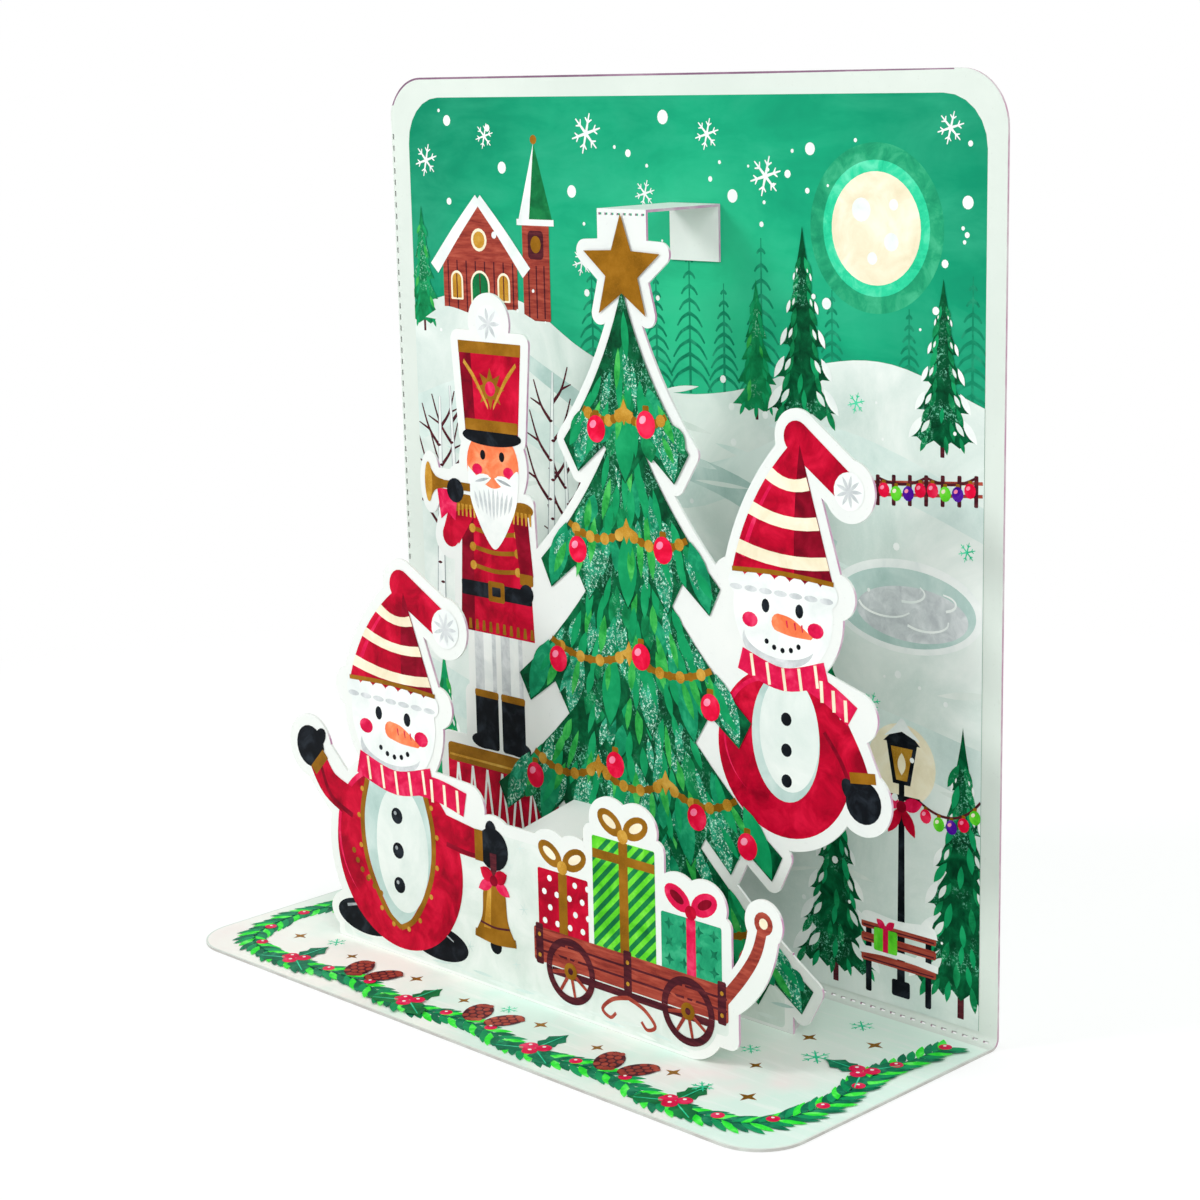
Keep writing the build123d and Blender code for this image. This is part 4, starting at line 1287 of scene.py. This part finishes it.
def waving_snowman():
    """The snowman at the front left, one arm raised and the other held out to the bell."""
    body, r, head_up, head_r = front.at(-30.0, 17.0), 15.5, 23.0, 10.2
    for side in BOTH:
        foot = body.at(side * 9.0, -17.0)
        foot.disc(0, 4.9, 7.0, "black", 1, rz=2.9)
        foot.plate(-3.2 - side, 4.4, 3.2 - side, 9.0, 0.8, "black", 1)
        foot.stroke([(-4.6, 6.0), (0, 7.0), (3.6, 5.8)], 0.5, "grey_dark", 1.3, 0.2)
    coat(
        body, (0, 0, r - 0.2, r - 0.2, "red", 2), (-3.0, 1.8, r * 0.78, r * 0.8, "crimson", 2.2),
        (-2.5, 1.2, r * 0.77, r * 0.79, "red", 2.4),
    )
    # Open coat over a white front
    opening = [(-6.6, 13.0), (-8.2, 6.0), (-7.2, -2.0), (-3.2, -9.0), (0, -11.2)]
    body.shape(smooth(mirrored(opening)), "path", 2.8)
    body.disc(1.0, 1.6, 6.3, "snow", 3, rz=10.6)
    for z in (-4.6, 1.2, 7.0):
        body.disc(0, z, 1.35, "black", 3.8, count=16)
        body.disc(-0.4, z + 0.4, 0.35, "grey_dark", 4.0, count=8)
    for side in BOTH:
        edge = [(side * 7.0, 11.8), (side * 8.6, 5.6), (side * 7.8, -2.0), (side * 3.8, -9.2), (0, -11.8)]
        body.stroke(edge, 1.1, "gold", 3.8, 0.9)
        for x, z in smooth(edge, 3)[1::2]:
            body.disc(x + side * 0.9, z - 0.3, 0.45, "gold_light", 4.0, count=8)
    for i in range(6):
        a = math.radians(-158 + i * 9)
        body.disc(math.cos(a) * r * 0.78, 3 + math.sin(a) * r * 0.7, 0.5, "gold", 2.8, count=8)
    sz = r * 0.4
    hx, hz = -r * 1.38, r * 0.95
    arm(
        body, 4.2,
        sleeve=([(-r * 0.72, sz + 0.6), (-r * 1.08, sz + 2.8), (hx + 1.6, hz - 1.8)], 5.6, 4.6),
        fold=([(-r * 0.72, sz - 1.4), (-r * 1.06, sz + 0.9), (hx + 2.6, hz - 3.0)], 0.9, 0.7),
        cuff=([(hx + 0.6, hz - 4.0), (hx + 3.8, hz - 0.7)], 1.8),
        mitten=(hx, hz, 3.5), thumb=(hx + 2.6, hz + 1.9, 1.2, 1.9, -40),
    )
    hx, hz = 22.5, sz
    arm(
        body, 4.2,
        sleeve=([(r * 0.66, sz + 0.8), (r * 1.05, sz + 0.2), (hx - 2.8, hz)], 5.6, 4.6),
        fold=([(r * 0.76, sz - 1.4), (r * 1.05, sz - 1.9), (hx - 2.8, hz - 1.8)], 0.8, 0.7),
        cuff=([(hx - 3.2, hz - 2.5), (hx - 3.2, hz + 2.5)], 1.8),
        mitten=(hx, hz, 3.4), thumb=(hx - 0.4, hz + 3.0, 1.2, 1.5, 0),
    )
    head = body.at(0, head_up)
    scarf(head.at(0, 0.9 - head_r), head_r * 0.88, (r * 1.06, -1.7), 4.0, 5.6)
    snow_head(head, head_r - 0.1, 5)
    carrot(head.at(0.6, 0), head_r, 6.6)
    woolly_cap(head, head_r, 25.0, 3.1, 6.2)


def hand_bell(x, z):
    """A gold bell on a wooden handle, with a bow."""
    pic = front.at(x, z)
    pic.stroke([(0, 10.0), (0, 5.0)], 1.5, "wood_dark", 5.2, 1.2)
    left = [(-1.3, 5.6), (-2.5, 3.6), (-2.9, -0.5), (-4.7, -3.8)]
    pic.between(left, mirrored(left)[len(left):], "gold", 5.4)
    shine = [(-1.4, 4.6), (-1.9, 1.6), (-2.6, -2.4)]
    pic.between(shine, [(-1.0, -2.4), (-0.8, 1.6), (-0.6, 4.6)], "gold_light", 5.7)
    pic.stroke([(-4.6, -3.6), (0, -4.1), (4.6, -3.6)], 1.3, "gold", 5.8)
    pic.stroke([(-3.3, -1.6), (0, -2.0), (3.3, -1.6)], 0.35, "wood_dark", 6.0)
    pic.disc(0, -5.0, 1.3, "black", 5.2)
    bow(pic, 5.6, ((4.0, 1.9, 118, "crimson", 6), (3.4, 2.3, 62, "red", 6.2)), 6.5)


def spots(pic, w, h):
    for i in range(4):
        for j in range(4):
            pic.disc(1.5 + i * 2.7 + (j % 2) * 1.2, 1.3 + j * 2.3, 0.5, "white", 2.3, count=10)


def stripes(pic, w, h):
    for i in range(-6, 8):
        strip = ribbon([(i * 2.2, 0), (i * 2.2 + h, h)], 0.75)
        pic.shape(clipped(strip, (0.15, -0.2, w - 0.15, h - 0.1)), "green", 2.3)


def stars(pic, w, h):
    for i in range(4):
        for j in range(3):
            pic.star(1.7 + i * 2.9, 1.5 + j * 2.7, 1.0, 0.4, "leaf_dark", 2.3, turn=45 * (j % 2))


def present(pic, w, h, paper, pattern, band, inner, knot, crossed=False):
    """A wrapped box with a ribbon and a bow, from its lower left corner."""
    pic.plate(0.15, -0.3, w - 0.15, h, 0.35, paper, 2)
    pattern(pic, w, h)
    middle = w / 2
    pic.plate(middle - 0.9, -0.2, middle + 0.9, h, 0.1, band, 2.7)
    if crossed:
        pic.plate(0.2, h - 3.4, w - 0.2, h - 2.0, 0.1, band, 2.7)
    for side in BOTH:
        pic.disc(middle + side * 2.6, h + 2.6, 2.7, band, 3, rz=1.7, turn=side * 28)
        pic.disc(middle + side * 2.7, h + 2.7, 1.5, inner, 3.3, rz=0.7, turn=side * 28)
    pic.disc(middle, h + 0.9, 1.1, knot, 3.6)


def wheel(x, z, r):
    pic = front.at(x, z)
    for start in (0, 180):
        rim = arc(0, 0, r, None, start, start + 180, 24) + arc(0, 0, r - 1.2, None, start + 180, start, 24)
        pic.shape(rim, "wood_dark", 5.4)
    for spoke in range(8):
        a = math.radians(45 * spoke + 12)
        pic.stroke([(0, 0), (math.cos(a) * (r - 0.9), math.sin(a) * (r - 0.9))], 0.7, "wood", 5.1, 0.5)
    pic.disc(0, 0, 1.35, "gold", 5.8)
    pic.disc(0, 0, 0.55, "wood_dark", 6.1, count=10)


def wagon():
    """A slatted wagon with two spoked wheels, a pull handle and three presents."""
    x0, x1, top, middle = 1.0, 41.0, 13.1, 21.0
    grip = (47.5, 24.1)
    front.stroke([(39.6, 10.6), (43.6, 15.4), (46.2, 19.6), grip], 1.9, "wood", 1, 1.7)
    front.disc(*grip, 1.7, "wood", 1)
    front.disc(*grip, 0.8, "cream", 1.3)
    left, gap = 2.2, 0.8
    for w, *wrap in (
        (11.0, 9.5, "red", spots, "gold", "cream", "gold_light"),
        (13.0, 17.0, "lime", stripes, "gold", "cream", "gold_light", True),
        (12.0, 8.5, "teal", stars, "crimson", "wine", "red"),
    ):
        present(front.at(left, top), w, *wrap)
        left += w + gap
    # Side boards
    front.plate(x0 + 0.2, 7.6, x1 - 0.2, top, 0.5, "wood", 4)
    for z in (9.4, 11.2):
        front.stroke([(x0 + 0.4, z), (x1 - 0.4, z)], 0.35, "wood_dark", 4.3)
    for px in (x0 + 1.4, middle, x1 - 1.4):
        front.plate(px - 0.8, 7.2, px + 0.8, top + 0.6, 0.3, "wood_dark", 4.5)
        for z in (8.6, 11.9):
            front.disc(px, z, 0.35, "gold_light", 4.8, count=8)
    front.plate(x0 + 4.0, 6.2, x1 - 4.0, 7.4, 0.3, "wood_dark", 3.8)
    # Scrolls between the wheels
    for side in BOTH:
        scroll = [(0, 6.4), (side * 3.2, 5.4), (side * 5.4, 3.4), (side * 3.8, 2.4), (side * 2.6, 3.4)]
        front.at(middle, 0).stroke(scroll, 0.7, "wood", 4, 0.5)
    for x in (x0 + 8.0, x1 - 8.0):
        wheel(x, 7.5, 5.2)


waving_snowman()
hand_bell(-7.5, 12.5)
wagon()
# Pale snow between the figures, with soft brush marks and small flakes
for x0, z0, x1, z1 in (
    (-30.0, 0.9, 4.0, 25.8), (-44.6, 0.9, 31.8, 3.2), (1.2, 5.6, 40.8, 12.8), (1.2, 1.6, 31.8, 12.8),
):
    front.plate(x0, z0, x1, z1, 0.8, "pale", -1)
front.disc(33, 7.5, 5.8, "pale", -1)
for i in range(23):
    z, tone = 1.5 + (i % 2) * 0.7, "snow" if i % 3 else "snow_shade"
    front.leaf(-42 + i * 3.2, z, 4.8, 0.5, rng.uniform(-4, 6), tone, 0)
for x, z in (
    (-10, 24.2), (-4, 21.4), (-1.4, 24.6), (-3.0, 5.6), (-1.0, 15.0), (-4.2, 9.4), (-13.6, 6.0),
    (-12.4, 21.8),
):
    front.flake(x, z, 1.0, "snow_shade", 0, barbs=False)
front.done()


# Stage

def background_ray(node_tree):
    """1 for the rays that see the white background: from the camera, off gloss and through glass."""
    path = node_tree.nodes.new("ShaderNodeLightPath")
    seen = path.outputs["Is Camera Ray"]
    for kind in ("Is Glossy Ray", "Is Transmission Ray"):
        either = node_tree.nodes.new("ShaderNodeMath")
        either.operation = "MAXIMUM"
        node_tree.links.new(seen, either.inputs[0])
        node_tree.links.new(path.outputs[kind], either.inputs[1])
        seen = either.outputs[0]
    return seen


def shader_of(node_tree, kind, colour, strength=None):
    """The output of a plain shader of one colour."""
    node = node_tree.nodes.new(kind)
    node.inputs["Color"].default_value = (*colour, 1)
    if strength is not None:
        node.inputs["Strength"].default_value = strength
    return node.outputs[0]


def chosen(node_tree, fac, first, second):
    """The first shader where fac is 0, the second where it is 1."""
    node = node_tree.nodes.new("ShaderNodeMixShader")
    for socket, output in zip(node.inputs, (fac, first, second)):
        node_tree.links.new(output, socket)
    return node.outputs[0]


def floor_material():
    """Pale floor that the camera sees as white, with the card's shadow kept."""
    n = Nodes("floor")
    grain = n.ramp(n.noise(30, 3.0, 0.6), (0.3, (231, 231, 231)), (0.7, (236, 236, 236)))
    matte = n.add("ShaderNodeBsdfDiffuse")
    n.put(matte.inputs["Color"], grain)
    near = n.add("ShaderNodeAddShader")
    n.put(near.inputs[0], shader_of(n.tree, "ShaderNodeBsdfDiffuse", (0.42, 0.42, 0.42)))
    n.put(near.inputs[1], shader_of(n.tree, "ShaderNodeEmission", (1, 1, 1), 0.61))
    white = shader_of(n.tree, "ShaderNodeEmission", (1, 1, 1), 1.0)
    shadow_ends, white_begins = 0.10, 0.27  # metres from the card
    away = n.add("ShaderNodeVectorMath", operation="LENGTH")
    n.put(away.inputs[0], n.coords)
    fade = n.spread(away.outputs["Value"], shadow_ends, white_begins)
    both = chosen(n.tree, fade, near.outputs[0], white)
    n.put(n.out.inputs["Surface"], chosen(n.tree, background_ray(n.tree), matte.outputs[0], both))
    return n.material


def lamp(name, place, power, size):
    """A round lamp aimed at the card."""
    light = bpy.data.lights.new(name, "AREA")
    light.energy = power
    light.shape = "DISK"
    light.size = size
    obj = bpy.data.objects.new(name, light)
    obj.location = place
    aim = Vector((0, 0, 0.05)) - Vector(place)
    obj.rotation_euler = aim.to_track_quat("-Z", "Y").to_euler()
    bpy.context.scene.collection.objects.link(obj)


floor_half, floor_drop = 4.0, 0.00005
data = bpy.data.meshes.new("floor")
corners = [(x * floor_half, y * floor_half, 0) for x, y in ((-1, -1), (1, -1), (1, 1), (-1, 1))]
data.from_pydata(corners, [], [(0, 1, 2, 3)])
data.materials.append(floor_material())
floor = bpy.data.objects.new("floor", data)
floor.location = (0, 0, -floor_drop)
bpy.context.scene.collection.objects.link(floor)

lamp("key", (-0.60, -0.80, 0.65), 5.6, 0.40)
lamp("fill", (0.85, -0.50, 0.65), 5.2, 0.9)
lamp("rear", (0.15, 1.0, 0.5), 3.4, 0.8)

world = bpy.data.worlds.new("studio")
bpy.context.scene.world = world
world.use_nodes = True
sky = world.node_tree
sky.nodes.clear()
ambient = shader_of(sky, "ShaderNodeBackground", (0.94, 1.0, 0.97), 0.60)
white = shader_of(sky, "ShaderNodeBackground", (1, 1, 1), 1.0)
out = sky.nodes.new("ShaderNodeOutputWorld")
sky.links.new(chosen(sky, background_ray(sky), ambient, white), out.inputs["Surface"])

# Camera from the perspective fit of the card's corners
azimuth, elevation, roll = math.radians(45.136), math.radians(12.221), math.radians(-1.319)
distance, aim_point = 365.22, (9.354, -0.2, 63.347)  # millimetres
focal_pixels, photo_pixels, sensor_width = 2478.05, 1200, 36.0
to_camera = Vector((
    math.sin(azimuth) * math.cos(elevation), -math.cos(azimuth) * math.cos(elevation), math.sin(elevation),
))
right = (-to_camera).cross(Vector((0, 0, 1))).normalized()
up = right.cross(-to_camera)
rolled_right = right * math.cos(roll) + up * math.sin(roll)
rolled_up = -right * math.sin(roll) + up * math.cos(roll)
turn = Matrix((rolled_right, rolled_up, to_camera)).transposed().to_4x4()
optics = bpy.data.cameras.new("camera")
optics.sensor_width = sensor_width
optics.lens = focal_pixels / photo_pixels * sensor_width
optics.clip_start = 0.01
optics.clip_end = 20.0
camera = bpy.data.objects.new("camera", optics)
camera.matrix_world = Matrix.Translation(Vector(aim_point) * MM + to_camera * distance * MM) @ turn
bpy.context.scene.collection.objects.link(camera)
bpy.context.scene.camera = camera
bpy.context.scene.view_settings.view_transform = "Standard"
